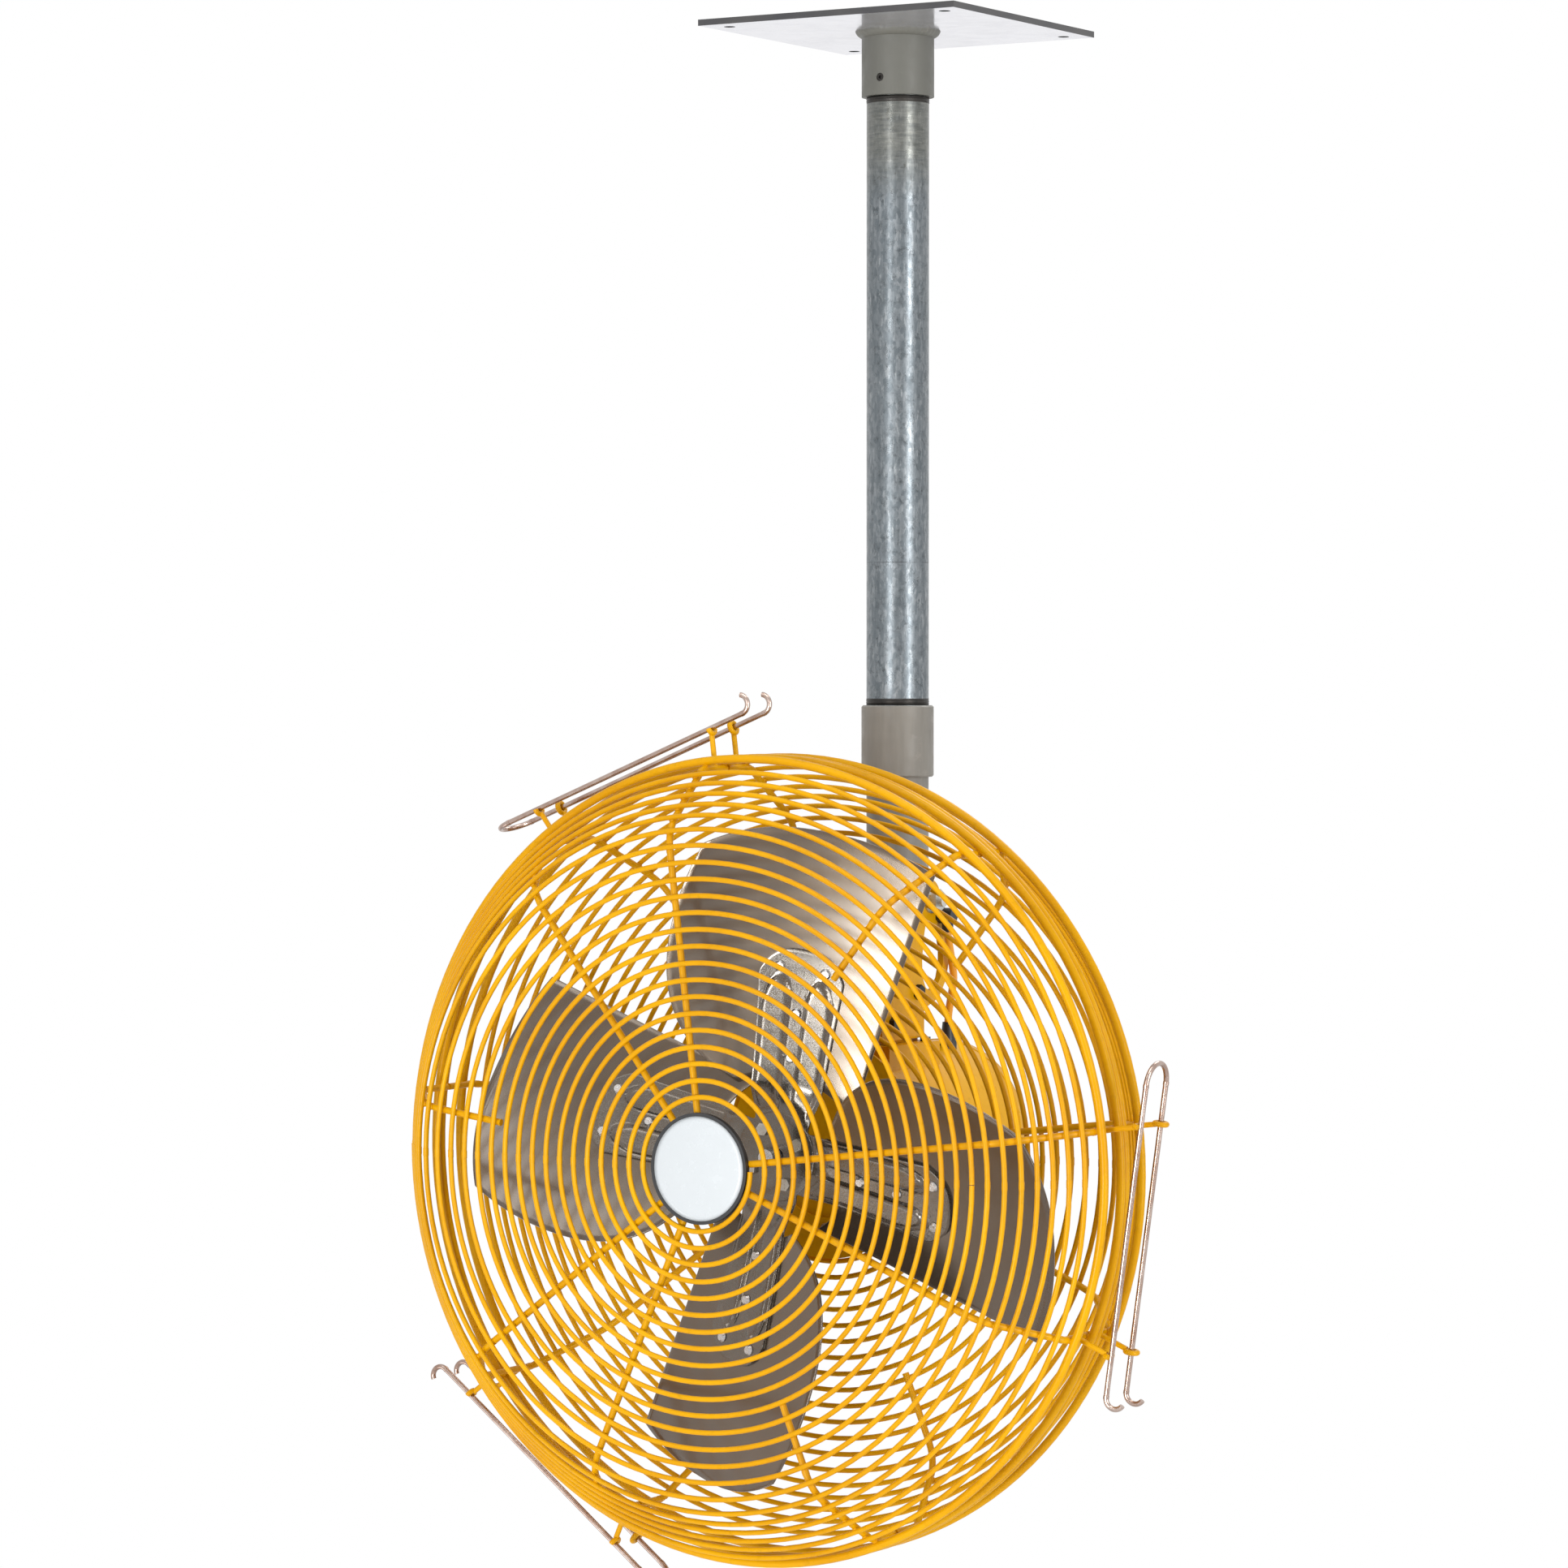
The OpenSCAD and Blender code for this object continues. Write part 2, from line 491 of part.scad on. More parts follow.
module hub() color(steel) at_fan() difference() {
  union() {
    translate([0, 0, hub_face - 6]) cylinder(r=hub_r - 6, h=6 - weld_gap, $fn=fine);
    translate([0, 0, hub_face - 42]) cylinder(r=19, h=40, $fn=fine);
  }
  translate([0, 0, hub_face - 50]) cylinder(r=shaft_d/2 + pin_fit, h=60, $fn=fine);
  copies(4, 25) translate([screw_ring, 0, hub_face - 20]) cylinder(r=3 + pin_fit, h=40, $fn=small);
  translate([0, 0, hub_face - 30]) rotate([0, 90, 0]) cylinder(r=3 + pin_fit, h=30, $fn=small);
}
module hub_screws() color("#d8d9da") at_fan() {
  copies(4, 25) translate([screw_ring, 0, hub_face - 9]) {
    cylinder(d=6, h=13.1, $fn=small);
    translate([0, 0, 13]) hex_head(11, 4.5);
    translate([0, 0, -2.2]) hex_head(10, 5.2);
  }
  translate([0, 0, hub_face - 30]) rotate([0, 90, 0]) translate([0, 0, shaft_d/2 + 0.1])
    cylinder(d=6, h=9.5, $fn=small);
}
rivet_top = (arm_off + arm_t/2)*cos(min(root_pitch, tip_pitch)) + near + 0.2;
rivet_back = -blade_t/2 - near - 2.4;
module blade_rivets() color("#c9cacb") at_fan() copies(blade_n, arm_angle) rivet_places() {
  translate([0, 0, rivet_back]) cylinder(d=rivet_d, h=rivet_top + 1 - rivet_back, $fn=small);
  translate([0, 0, rivet_top]) cylinder(d1=rivet_d*1.7, d2=rivet_d*1.2, h=2.4, $fn=small);
  translate([0, 0, rivet_back]) cylinder(d2=rivet_d*1.9, d1=rivet_d*1.3, h=2.4, $fn=small);
}

// Cage. A half is drawn as the front one: its face is at cage_depth, its open side at the split.
// A spiral is laid in half turns. Each next half is a half step wider, and both meet on the X axis.
spiral_start = badge_d/2 + wire_d/2 + 0.4;
half_step = pitch/2;
bend_len = bend_r*slope*PI/180;
slope_r = flat_r + bend_r*sin(slope);
slope_z = cage_depth - bend_r*(1 - cos(slope));
last_r = rim_r - hoop_d/2 + 0.4;
wire_end = flat_r + bend_len + (last_r - slope_r)/cos(slope);
// Radius and height of the wire's middle at the distance s along the cage's profile
function wire_at(s) = s < flat_r ? [s, cage_depth]
  : s < flat_r + bend_len ? let (a = (s - flat_r)/bend_r*180/PI)
    [flat_r + bend_r*sin(a), cage_depth - bend_r*(1 - cos(a))]
  : let (l = s - flat_r - bend_len) [slope_r + l*cos(slope), slope_z - l*sin(slope)];
function along(start, i) = start + i*half_step;
weld_bead = 0.25;
trim = 0.3;
module half_turn(start, i) {
  s = i%2 == 0 ? 1 : -1;
  a = wire_at(along(start, i));
  b = wire_at(along(start, i + 1));
  xa = s*a[0];
  xb = -s*b[0];
  span = norm([xb - xa, b[1] - a[1]]);
  cut = trim/span*360/PI;
  translate([(xa + xb)/2, 0, (a[1] + b[1])/2]) rotate([0, s*asin((b[1] - a[1])/span), 0])
    rotate([0, 0, (s > 0 ? 180 : 0) + cut]) rotate_extrude(angle=180 - 2*cut, $fn=fine)
      translate([span/2, 0]) circle(d=wire_d, $fn=small);
}
module butt_weld(start, i) let (p = wire_at(along(start, i))) translate([(i%2 == 0 ? 1 : -1)*p[0], 0, p[1]])
  rotate([90, 0, 0]) cylinder(d=wire_d + 2*weld_bead, h=7, center=true, $fn=small);
module spiral(start, first, last) {
  for (i = [first:last - 1]) half_turn(start, i);
  for (i = [first + 1:last - 1]) butt_weld(start, i);
}
function turns_to(start, s) = floor((s - start)/half_step);
front_flat_n = turns_to(spiral_start, flat_r - 5);
front_all_n = turns_to(spiral_start, wire_end);
rear_start = motor_r + 15;
rear_flat_n = turns_to(rear_start, flat_r - 5);
rear_all_n = turns_to(rear_start, wire_end);

// A rib is a rod that bends with the cage's profile, just inside the spiral
rib_bend = bend_r - rib_off;
rim_bend = 14;
function heading(a) = [cos(a), -sin(a)];
function after(p, a, l) = p + l*heading(a);
function turned(p, a0, a1, r) = p + r*[sin(a1) - sin(a0), cos(a1) - cos(a0)];
module rod(p, a, l) translate([p[0], 0, p[1]]) rotate([0, 90 + a, 0]) translate([0, 0, trim])
  cylinder(d=rib_d, h=l - 2*trim, $fn=small);
module bent(p, a0, a1, r) let (cut = trim/r*180/PI)
  translate([p[0], 0, p[1]]) rotate([0, a0, 0]) translate([0, 0, -r]) rotate([90, 0, 0])
    rotate([0, 0, 90 - (a1 - a0) + cut]) rotate_extrude(angle=a1 - a0 - 2*cut, $fn=fine)
      translate([r, 0]) circle(d=rib_d, $fn=small);
module knuckle(p, a) translate([p[0], 0, p[1]]) rotate([0, 90 + a, 0])
  cylinder(d=rib_d + 2*weld_bead, h=4, center=true, $fn=small);
rib_stop = 1.5;
module rib(r0) {
  p1 = [r0, rib_z];
  p2 = [flat_r, rib_z];
  p3 = turned(p2, 0, slope, rib_bend);
  down = (rib_rim_r - rim_bend*(1 - sin(slope)) - p3[0])/cos(slope);
  p4 = after(p3, slope, down);
  p5 = turned(p4, slope, 90, rim_bend);
  rod(p1, 0, flat_r - r0);
  bent(p2, 0, slope, rib_bend);
  rod(p3, slope, down);
  bent(p4, slope, 90, rim_bend);
  rod(p5, 90, p5[1] - rib_stop);
  knuckle(p2, 0);
  knuckle(p3, slope);
  knuckle(p4, slope);
  knuckle(p5, 90);
}
clip_angles = [112, 232, 352];
leg_z = clip_gap/2;
eye_r = clip_r/cos(pair_angle/2);
eye_d = 5;
eye_ring = clip_d/2 + near + eye_d/2;
module long_ribs(r0) for (c = clip_angles, s = [-1, 1]) rotate([0, 0, c + s*pair_angle/2]) rib(r0);
module short_ribs() for (c = clip_angles) rotate([0, 0, c + 60]) rib(short_rib_r);
short_rib_r = flat_r*0.77;
// A stub and an eye, or an open hook, on each long rib hold a clip's leg
module eye(c, s, open) rotate([0, 0, c + s*pair_angle/2]) {
  translate([rib_rim_r, 0, leg_z]) rotate([0, 90, 0])
    cylinder(d=eye_d, h=eye_r - eye_ring - rib_rim_r, $fn=small);
  translate([eye_r, 0, leg_z]) rotate([90, 0, -s*pair_angle/2])
    rotate([0, 0, open ? 95 : 0])
      rotate_extrude(angle=open ? 170 : 360, $fn=fine)
      translate([eye_ring, 0]) circle(d=eye_d, $fn=small);
}
module cage_ribs(r0, open) {
  long_ribs(r0);
  short_ribs();
  for (c = clip_angles, s = [-1, 1]) eye(c, s, open);
}
hoop_low = hoop_d/2 + near/2;
hoop_high = 36;
module hoops() for (z = [hoop_low, hoop_high]) translate([0, 0, z]) torus(rim_r, hoop_d);
module rear_half() at_fan() mirror([0, 0, 1]) children();
module front_half() at_fan() children();

module rear_spiral_face() color(yellow) rear_half() spiral(rear_start, 0, rear_flat_n);
module rear_spiral_wall() color(yellow) rear_half() spiral(rear_start, rear_flat_n, rear_all_n);
module rear_ribs() color(yellow) rear_half() cage_ribs(motor_r + 3, false);
module rear_hoops() color(yellow) rear_half() hoops();
ring_out = motor_r + 15;
module rear_mount_ring() color(yellow) at_fan() difference() {
  ring(ring_out, motor_r - 24, motor_front, motor_front + ring_t);
  copies(4) translate([motor_r - 14, 0, motor_front - 1]) cylinder(r=2.5 + pin_fit, h=10, $fn=small);
}
module mount_ring_screws() color(zinc) at_fan() copies(4) translate([motor_r - 14, 0, motor_front]) {
  translate([0, 0, ring_t]) cylinder(d1=10, d2=7, h=3, $fn=small);
  translate([0, 0, -7]) cylinder(d=5, h=7 + ring_t + 0.1, $fn=small);
}
module front_spiral_face() color(yellow) front_half() spiral(spiral_start, 0, front_flat_n);
module front_spiral_wall() color(yellow) front_half() spiral(spiral_start, front_flat_n, front_all_n);
rib_inner = 34;
module front_ribs() color(yellow) front_half() cage_ribs(rib_inner, true);
module front_hoops() color(yellow) front_half() hoops();

// Badge: a plain disc on the ribs, held by a backing plate and a screw
badge_z = rib_z + rib_d/2 + weld_gap;
badge_t = 4.5;
rim_w = 3.2;
module badge_plate() color("white") at_fan() ring(badge_d/2 - rim_w, 3 + pin_fit, badge_z, badge_z + badge_t);
module badge_rim() color(black) at_fan() ring(badge_d/2, badge_d/2 - rim_w, badge_z, badge_z + badge_t + 0.6);
back_z = rib_z - rib_d/2 - weld_gap;
module badge_backing() color(zinc) at_fan() ring(46, 3 + pin_fit, back_z - 2.5, back_z);
module badge_screw() color("white") at_fan() {
  translate([0, 0, back_z - 9]) cylinder(d=6, h=badge_z + badge_t - back_z + 9.1, $fn=small);
  translate([0, 0, badge_z + badge_t]) cylinder(d1=12, d2=9, h=1.6, $fn=small);
  translate([0, 0, back_z - 7.5]) hex_head(10, 5);
}

// Clips: hairpins of spring wire. The rear leg turns in the rear eyes, the front leg sits in open hooks.
module clip_rod(p, dir, l) translate(p) rotate(dir)
  translate([0, 0, trim]) cylinder(d=clip_d, h=l - 2*trim, $fn=small);
module clip_collar(p, dir) translate(p) rotate(dir)
  cylinder(d=clip_d + 2*weld_bead, h=3, center=true, $fn=small);
hook_r = 9;
hook_turn = 150;
module clip(k) {
  half = clip_len/2;
  u = trim/(clip_gap/2)*180/PI;
  h = trim/hook_r*180/PI;
  at_fan() rotate([0, 0, clip_angles[k]]) translate([clip_r, 0, 0]) {
    for (z = [-leg_z, leg_z]) {
      clip_rod([0, -half, z], [-90, 0, 0], clip_len);
      clip_collar([0, half, z], [90, 0, 0]);
      clip_collar([0, -half, z], [90, 0, 0]);
      translate([hook_r, -half, z]) rotate([0, 0, 180 + h])
        rotate_extrude(angle=hook_turn - h, $fn=fine) translate([hook_r, 0]) circle(d=clip_d, $fn=small);
    }
    translate([0, half, 0]) rotate([0, 0, 90]) rotate([90, 0, 0]) rotate([0, 0, -90 + u])
      rotate_extrude(angle=180 - 2*u, $fn=fine) translate([clip_gap/2, 0]) circle(d=clip_d, $fn=small);
  }
}
module clip_1() color("#8a7a66") clip(0);
module clip_2() color("#8a7a66") clip(1);
module clip_3() color("#8a7a66") clip(2);

ceiling_plate();
ceiling_socket();
socket_lock_screw();
drop_pipe();
pipe_coupling();
stem_pipe();
pivot_bolt();
pivot_nut();
pivot_washers();
tilt_ears();
motor_saddle();
ear_bolts();
saddle_bolts();
motor_shell();
front_bell();
rear_bell();
through_bolts();
stator_core();
stator_windings();
front_bearing();
rear_bearing();
rotor_core();
motor_shaft();
strain_relief();
motor_lead();
lead_gland();
hub();
hub_screws();
spider();
blade_1();
blade_2();
blade_3();
blade_4();
blade_rivets();
rear_spiral_face();
rear_spiral_wall();
rear_ribs();
rear_hoops();
rear_mount_ring();
mount_ring_screws();
front_spiral_face();
front_spiral_wall();
front_ribs();
front_hoops();
badge_plate();
badge_rim();
badge_backing();
badge_screw();
clip_1();
clip_2();
clip_3();
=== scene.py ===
import json
import math

import bmesh
import bpy
from bpy.props import FloatProperty, FloatVectorProperty, IntProperty, PointerProperty
from mathutils import Matrix, Vector


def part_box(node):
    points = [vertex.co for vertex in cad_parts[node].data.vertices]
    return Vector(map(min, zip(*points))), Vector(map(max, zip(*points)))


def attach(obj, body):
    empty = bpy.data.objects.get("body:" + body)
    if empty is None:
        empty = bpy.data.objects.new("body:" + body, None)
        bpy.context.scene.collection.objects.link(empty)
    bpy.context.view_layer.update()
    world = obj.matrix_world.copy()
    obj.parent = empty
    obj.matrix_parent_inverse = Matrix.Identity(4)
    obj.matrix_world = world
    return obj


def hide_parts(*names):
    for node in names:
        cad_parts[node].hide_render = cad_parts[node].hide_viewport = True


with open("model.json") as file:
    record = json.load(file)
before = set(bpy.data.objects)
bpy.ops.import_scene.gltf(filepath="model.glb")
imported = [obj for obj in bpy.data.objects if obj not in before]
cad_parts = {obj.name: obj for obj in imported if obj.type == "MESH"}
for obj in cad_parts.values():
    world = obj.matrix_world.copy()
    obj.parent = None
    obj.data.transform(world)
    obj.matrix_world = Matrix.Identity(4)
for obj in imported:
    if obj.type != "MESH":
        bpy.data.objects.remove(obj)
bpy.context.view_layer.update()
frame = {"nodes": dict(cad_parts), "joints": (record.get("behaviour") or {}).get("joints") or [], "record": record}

bl_info = {
    "name": "Air Circulator Dresser",
    "version": (1, 0, 0),
    "blender": (4, 5, 0),
    "location": "View3D > Sidebar > Circulator",
    "description": "Gives a caged ceiling circulator its sheet metal, welds, threads, finishes and studio",
    "category": "Object",
}

MM = 0.001
JOINTS = {j["name"]: j for j in frame["joints"]}
BLADE_CENTRE = Vector(JOINTS["fan_spin"]["pos_m"])
SLOTS = {s["node"]: s["material_slot"] for s in frame["record"]["subparts"]}

# Turns what is drawn flat, facing up, to face forward along the fan's axis
FACE_FORWARD = Matrix.Rotation(math.radians(90), 4, "X")

# Heights from the ceiling face. Between the first pair, painted shade for the shade under the plate fades into the
# grey paint; the others are where the drop's zinc finish changes
# Painted shade under the plate: the grey paint darkens from the lower height to the upper one
PLATE_SHADE_HEIGHTS = (-0.3, -0.2)
WARM_ZINC = (-0.17, -0.12)
RING_MARK = -0.518

# The blade's outline, as shares of the tip radius: where it is widest, how far its leading side
# stands out there, and the trailing side's width carried back to the axis
WIDEST = 0.673
FRONT_WIDTH = 0.375
BACK_AT_AXIS = 0.15

# How much wider the trailing side gets with the radius
BACK_GROWTH = 0.18

# Radius where the sheets begin to rise from the spider's flat middle
FLAT_MIDDLE = 44 * MM

# The guard's wires, measured from the split between its halves, which is ahead of the blades' plane
SPLIT_AHEAD = 19 * MM
WIRE_RADIUS = 2.4 * MM
HOOP_RADIUS = 4 * MM
HOOP_HEIGHTS = (4.15 * MM, 36 * MM)

# Half sizes of a weld's nugget: along the rib, along the wire and deep
NUGGET = (3.0 * MM, 3.4 * MM, 1.6 * MM)

# Degrees round the guard's axis of each clip's middle, and from there to its eyes
CLIP_ANGLES = (112, 232, 352)
CLIP_EYE_SPREAD = 15

# Where the short ribs begin, as a share of the flat face's radius
SHORT_RIB_START = 0.77

# Softboxes round the object's middle: degrees from straight ahead, degrees up, metres away,
# metres wide, metres tall, watts
MIDDLE = Vector((0, -0.1, -0.8))
SOFTBOXES = {
    "key_softbox": (2.5, -13, 3.6, 0.9, 1.0, 56),
    "fill_softbox": (-22, 38, 3.2, 0.9, 0.7, 5.5),
    "back_softbox": (170, 50, 3.0, 1.4, 1.4, 24),
    "low_softbox": (-54, -39, 1.65, 0.6, 0.4, 1.8),
    "strip_softbox": (1, 5.5, 3.6, 0.55, 1.3, 16),
    "side_softbox": (76, 4, 3.0, 0.7, 2.2, 40),
    "top_softbox": (20, 66, 2.8, 1.6, 1.6, 24),
}
FLOOR_RADIUS = 2.2
FLOOR_HEIGHT = -2.05

# The camera, as it was fitted to the photograph, with its place from the ceiling face's middle
PHOTO_WIDTH_PIXELS = 1932
FOCAL_PIXELS = 6361
SENSOR_MM = 36
CAMERA_AZIMUTH = math.radians(31.14)
CAMERA_PITCH = math.radians(1.42)
CAMERA_DISTANCE = 5.0
CAMERA_ASIDE = -0.110
CAMERA_HEIGHT = -0.6083


# Sizes and colours a user may change

class CirculatorSizes(bpy.types.PropertyGroup):
    blade_radius: FloatProperty(name="Blade radius", description="Radius that the blade tips sweep",
        default=0.312, unit="LENGTH")
    blade_root: FloatProperty(name="Blade root", description="Radius where a blade begins",
        default=0.075, unit="LENGTH")
    blade_sheet: FloatProperty(name="Blade sheet", description="Thickness of the blades' sheet",
        default=0.0022, unit="LENGTH")
    camber: FloatProperty(name="Camber", description="Depth of a blade's hollow",
        default=0.005, unit="LENGTH")
    blade_lead: FloatProperty(name="Blade lead",
        description="Angle between a blade's line of no twist and its arm",
        default=math.radians(12), subtype="ANGLE")
    root_pitch: FloatProperty(name="Root pitch", description="Blade angle at the root",
        default=math.radians(22), subtype="ANGLE")
    tip_pitch: FloatProperty(name="Tip pitch", description="Blade angle at the tip",
        default=math.radians(25), subtype="ANGLE")
    arm_angle: FloatProperty(name="Arm angle", description="Turn of the first spider arm from upright",
        default=math.radians(-11.5), subtype="ANGLE")
    arm_end: FloatProperty(name="Arm end", description="Radius that a spider arm reaches",
        default=0.198, unit="LENGTH")
    arm_sheet: FloatProperty(name="Spider sheet", description="Thickness of the spider's pressed sheet",
        default=0.003, unit="LENGTH")
    pipe_radius: FloatProperty(name="Pipe radius", description="Outer radius of the drop pipe",
        default=0.03015, unit="LENGTH")
    socket_radius: FloatProperty(name="Socket radius", description="Outer radius of the ceiling socket",
        default=0.035, unit="LENGTH")
    motor_radius: FloatProperty(name="Motor radius", description="Outer radius of the motor",
        default=0.0895, unit="LENGTH")
    lead_diameter: FloatProperty(name="Lead diameter", description="Outer diameter of the motor's lead",
        default=0.0075, unit="LENGTH")
    guard_radius: FloatProperty(name="Guard radius", description="Radius of the hoops at the guard's split",
        default=0.372, unit="LENGTH")
    guard_depth: FloatProperty(name="Guard depth",
        description="From the split to the wires of a guard's face",
        default=0.118, unit="LENGTH")
    guard_side: FloatProperty(name="Guard side", description="How far the rim stands outside the flat face",
        default=0.081, unit="LENGTH")
    guard_bend: FloatProperty(name="Guard bend", description="Radius of the bend from the face to the side",
        default=0.044, unit="LENGTH")
    guard_slope: FloatProperty(name="Guard slope", description="Slope of the guard's side",
        default=math.radians(52), subtype="ANGLE")
    wire_pitch: FloatProperty(name="Wire pitch", description="From one turn of the spiral to the next",
        default=0.0153, unit="LENGTH")
    badge_radius: FloatProperty(name="Badge radius", description="Outer radius of the bare badge",
        default=0.051, unit="LENGTH")
    blades: IntProperty(name="Blades", description="Number of blades and spider arms",
        default=4, min=2, max=4)


class CirculatorColours(bpy.types.PropertyGroup):
    guard: FloatVectorProperty(name="Guard", description="Powder coat of the guard and motor",
        default=(0.74, 0.378, 0.0), subtype="COLOR", size=3)
    fittings: FloatVectorProperty(name="Fittings", description="Paint of the socket, coupling and stem",
        default=(0.225, 0.21, 0.183), subtype="COLOR", size=3)
    plate: FloatVectorProperty(name="Plate", description="Paint of the ceiling plate",
        default=(0.735, 0.735, 0.79), subtype="COLOR", size=3)
    blade: FloatVectorProperty(name="Blades", description="Paint of the blades",
        default=(0.135, 0.107, 0.08), subtype="COLOR", size=3)


def sizes():
    return bpy.context.scene.circulator_sizes


def colours():
    return bpy.context.scene.circulator_colours


# Small helpers for node materials

def material(name, base, metallic=0.0, roughness=0.5):
    """A fresh material with one Principled shader. Returns the material, its tree and the shader."""
    made = bpy.data.materials.new(name)
    made.use_nodes = True
    tree = made.node_tree
    shader = tree.nodes["Principled BSDF"]
    shader.inputs["Base Color"].default_value = (*base, 1)
    shader.inputs["Metallic"].default_value = metallic
    shader.inputs["Roughness"].default_value = roughness
    return made, tree, shader


def node(tree, kind, inputs=None, **settings):
    made = tree.nodes.new(kind)
    for key, value in settings.items():
        setattr(made, key, value)
    for key, value in (inputs or {}).items():
        if isinstance(value, bpy.types.NodeSocket):
            tree.links.new(value, made.inputs[key])
        else:
            made.inputs[key].default_value = value
    return made


def place(tree, stretch=(1, 1, 1)):
    """Object coordinates, drawn out along an axis where its stretch is small."""
    coordinates = node(tree, "ShaderNodeTexCoord")
    mapping = node(tree, "ShaderNodeMapping", {"Vector": coordinates.outputs["Object"], "Scale": stretch})
    return mapping.outputs["Vector"]


def height_of(tree, where):
    return node(tree, "ShaderNodeSeparateXYZ", {"Vector": where}).outputs["Z"]


def noise(tree, where, scale, detail=4.0, roughness=0.55):
    made = node(tree, "ShaderNodeTexNoise",
        {"Vector": where, "Scale": scale, "Detail": detail, "Roughness": roughness})
    return made.outputs["Fac"]


def spread(tree, value, low, high, from_low=0.35, from_high=0.65):
    """Maps a noise's middle range onto low to high."""
    made = node(tree, "ShaderNodeMapRange",
        {"Value": value, "From Min": from_low, "From Max": from_high, "To Min": low, "To Max": high})
    return made.outputs["Result"]


def blend_colours(tree, factor, first, second):
    """Mixes two colours, each a socket or three numbers, by a factor that is one or the other too."""
    made = node(tree, "ShaderNodeMix", data_type="RGBA", blend_type="MIX", clamp_factor=True)
    for key, value in (("Factor", factor), ("A", first), ("B", second)):
        socket = next(s for s in made.inputs if s.name == key and s.enabled)
        if isinstance(value, bpy.types.NodeSocket):
            tree.links.new(value, socket)
        else:
            socket.default_value = value if key == "Factor" else (*value, 1)
    return next(s for s in made.outputs if s.enabled)


def raise_surface(tree, shader, height, strength, distance):
    bump = node(tree, "ShaderNodeBump", {"Height": height, "Strength": strength, "Distance": distance})
    tree.links.new(bump.outputs["Normal"], shader.inputs["Normal"])


def feed(tree, shader, name, value):
    tree.links.new(value, shader.inputs[name])


def shade(colour, factor):
    return tuple(c * factor for c in colour)


# Finishes

def powder_coat(name, colour):
    """Glossy powder coat with a faint orange peel, dust in broad patches and thin spots."""
    made, tree, shader = material(name, colour, roughness=0.45)
    where = place(tree)
    patches = spread(tree, noise(tree, where, 9, 5), 0, 1)
    specks = spread(tree, noise(tree, where, 160, 3), 0, 0.35, 0.55, 0.75)
    mixed = blend_colours(tree, patches, colour, (colour[0] * 0.88, colour[1] * 0.80, colour[2]))
    feed(tree, shader, "Base Color", blend_colours(tree, specks, mixed, shade(colour, 0.62)))
    feed(tree, shader, "Roughness", spread(tree, noise(tree, where, 45, 4), 0.27, 0.42))
    raise_surface(tree, shader, noise(tree, where, 750, 2), 0.12, 0.0004)
    shader.inputs["Specular IOR Level"].default_value = 0.14
    shader.inputs["Coat Weight"].default_value = 0.06
    shader.inputs["Coat Roughness"].default_value = 0.15
    return made


def machine_paint(name, colour):
    """Satin enamel with streaks, rubbed places, a light texture, and painted shade near the ceiling, where the
    plate shades the fittings.
    """
    made, tree, shader = material(name, colour, roughness=0.5)
    where = place(tree)
    streaks = spread(tree, noise(tree, place(tree, (1, 1, 0.12)), 60, 5), 0, 1)
    rubbed = spread(tree, noise(tree, where, 30, 8, 0.7), 0, 0.8, 0.58, 0.72)
    mixed = blend_colours(tree, streaks, shade(colour, 0.88), shade(colour, 1.10))
    # Painted shade: near the ceiling the paint is darkened to six tenths, standing for the shade under the plate
    painted_shade_near_ceiling = spread(tree, height_of(tree, where), 0, 1, *PLATE_SHADE_HEIGHTS)
    shaded_paint = shade((colour[0], colour[1] * 1.06, colour[2] * 1.04), 0.6)
    mixed = blend_colours(tree, painted_shade_near_ceiling, mixed, shaded_paint)
    feed(tree, shader, "Base Color", blend_colours(tree, rubbed, mixed, shade(colour, 1.35)))
    feed(tree, shader, "Roughness", spread(tree, noise(tree, where, 70, 4), 0.42, 0.6))
    raise_surface(tree, shader, noise(tree, where, 420, 3), 0.15, 0.0004)
    return made


def plate_paint(name, colour):
    """Pale paint under the plate with bare dark steel along its edge."""
    made, tree, shader = material(name, colour, 0.75, 0.14)
    where = place(tree)
    normal = node(tree, "ShaderNodeNewGeometry").outputs["Normal"]
    down = node(tree, "ShaderNodeMath", {0: height_of(tree, normal)}, operation="ABSOLUTE").outputs[0]
    facing = spread(tree, down, 0, 1, 0.4, 0.6)
    dusty = spread(tree, noise(tree, where, 14, 6), 0, 0.6)
    face = blend_colours(tree, dusty, colour, shade(colour, 0.9))
    edge = blend_colours(tree, dusty, (0.085, 0.085, 0.09), (0.13, 0.125, 0.12))
    feed(tree, shader, "Base Color", blend_colours(tree, facing, edge, face))
    feed(tree, shader, "Roughness", spread(tree, noise(tree, where, 50, 4), 0.10, 0.2))
    raise_surface(tree, shader, noise(tree, where, 380, 3), 0.04, 0.0003)
    return made


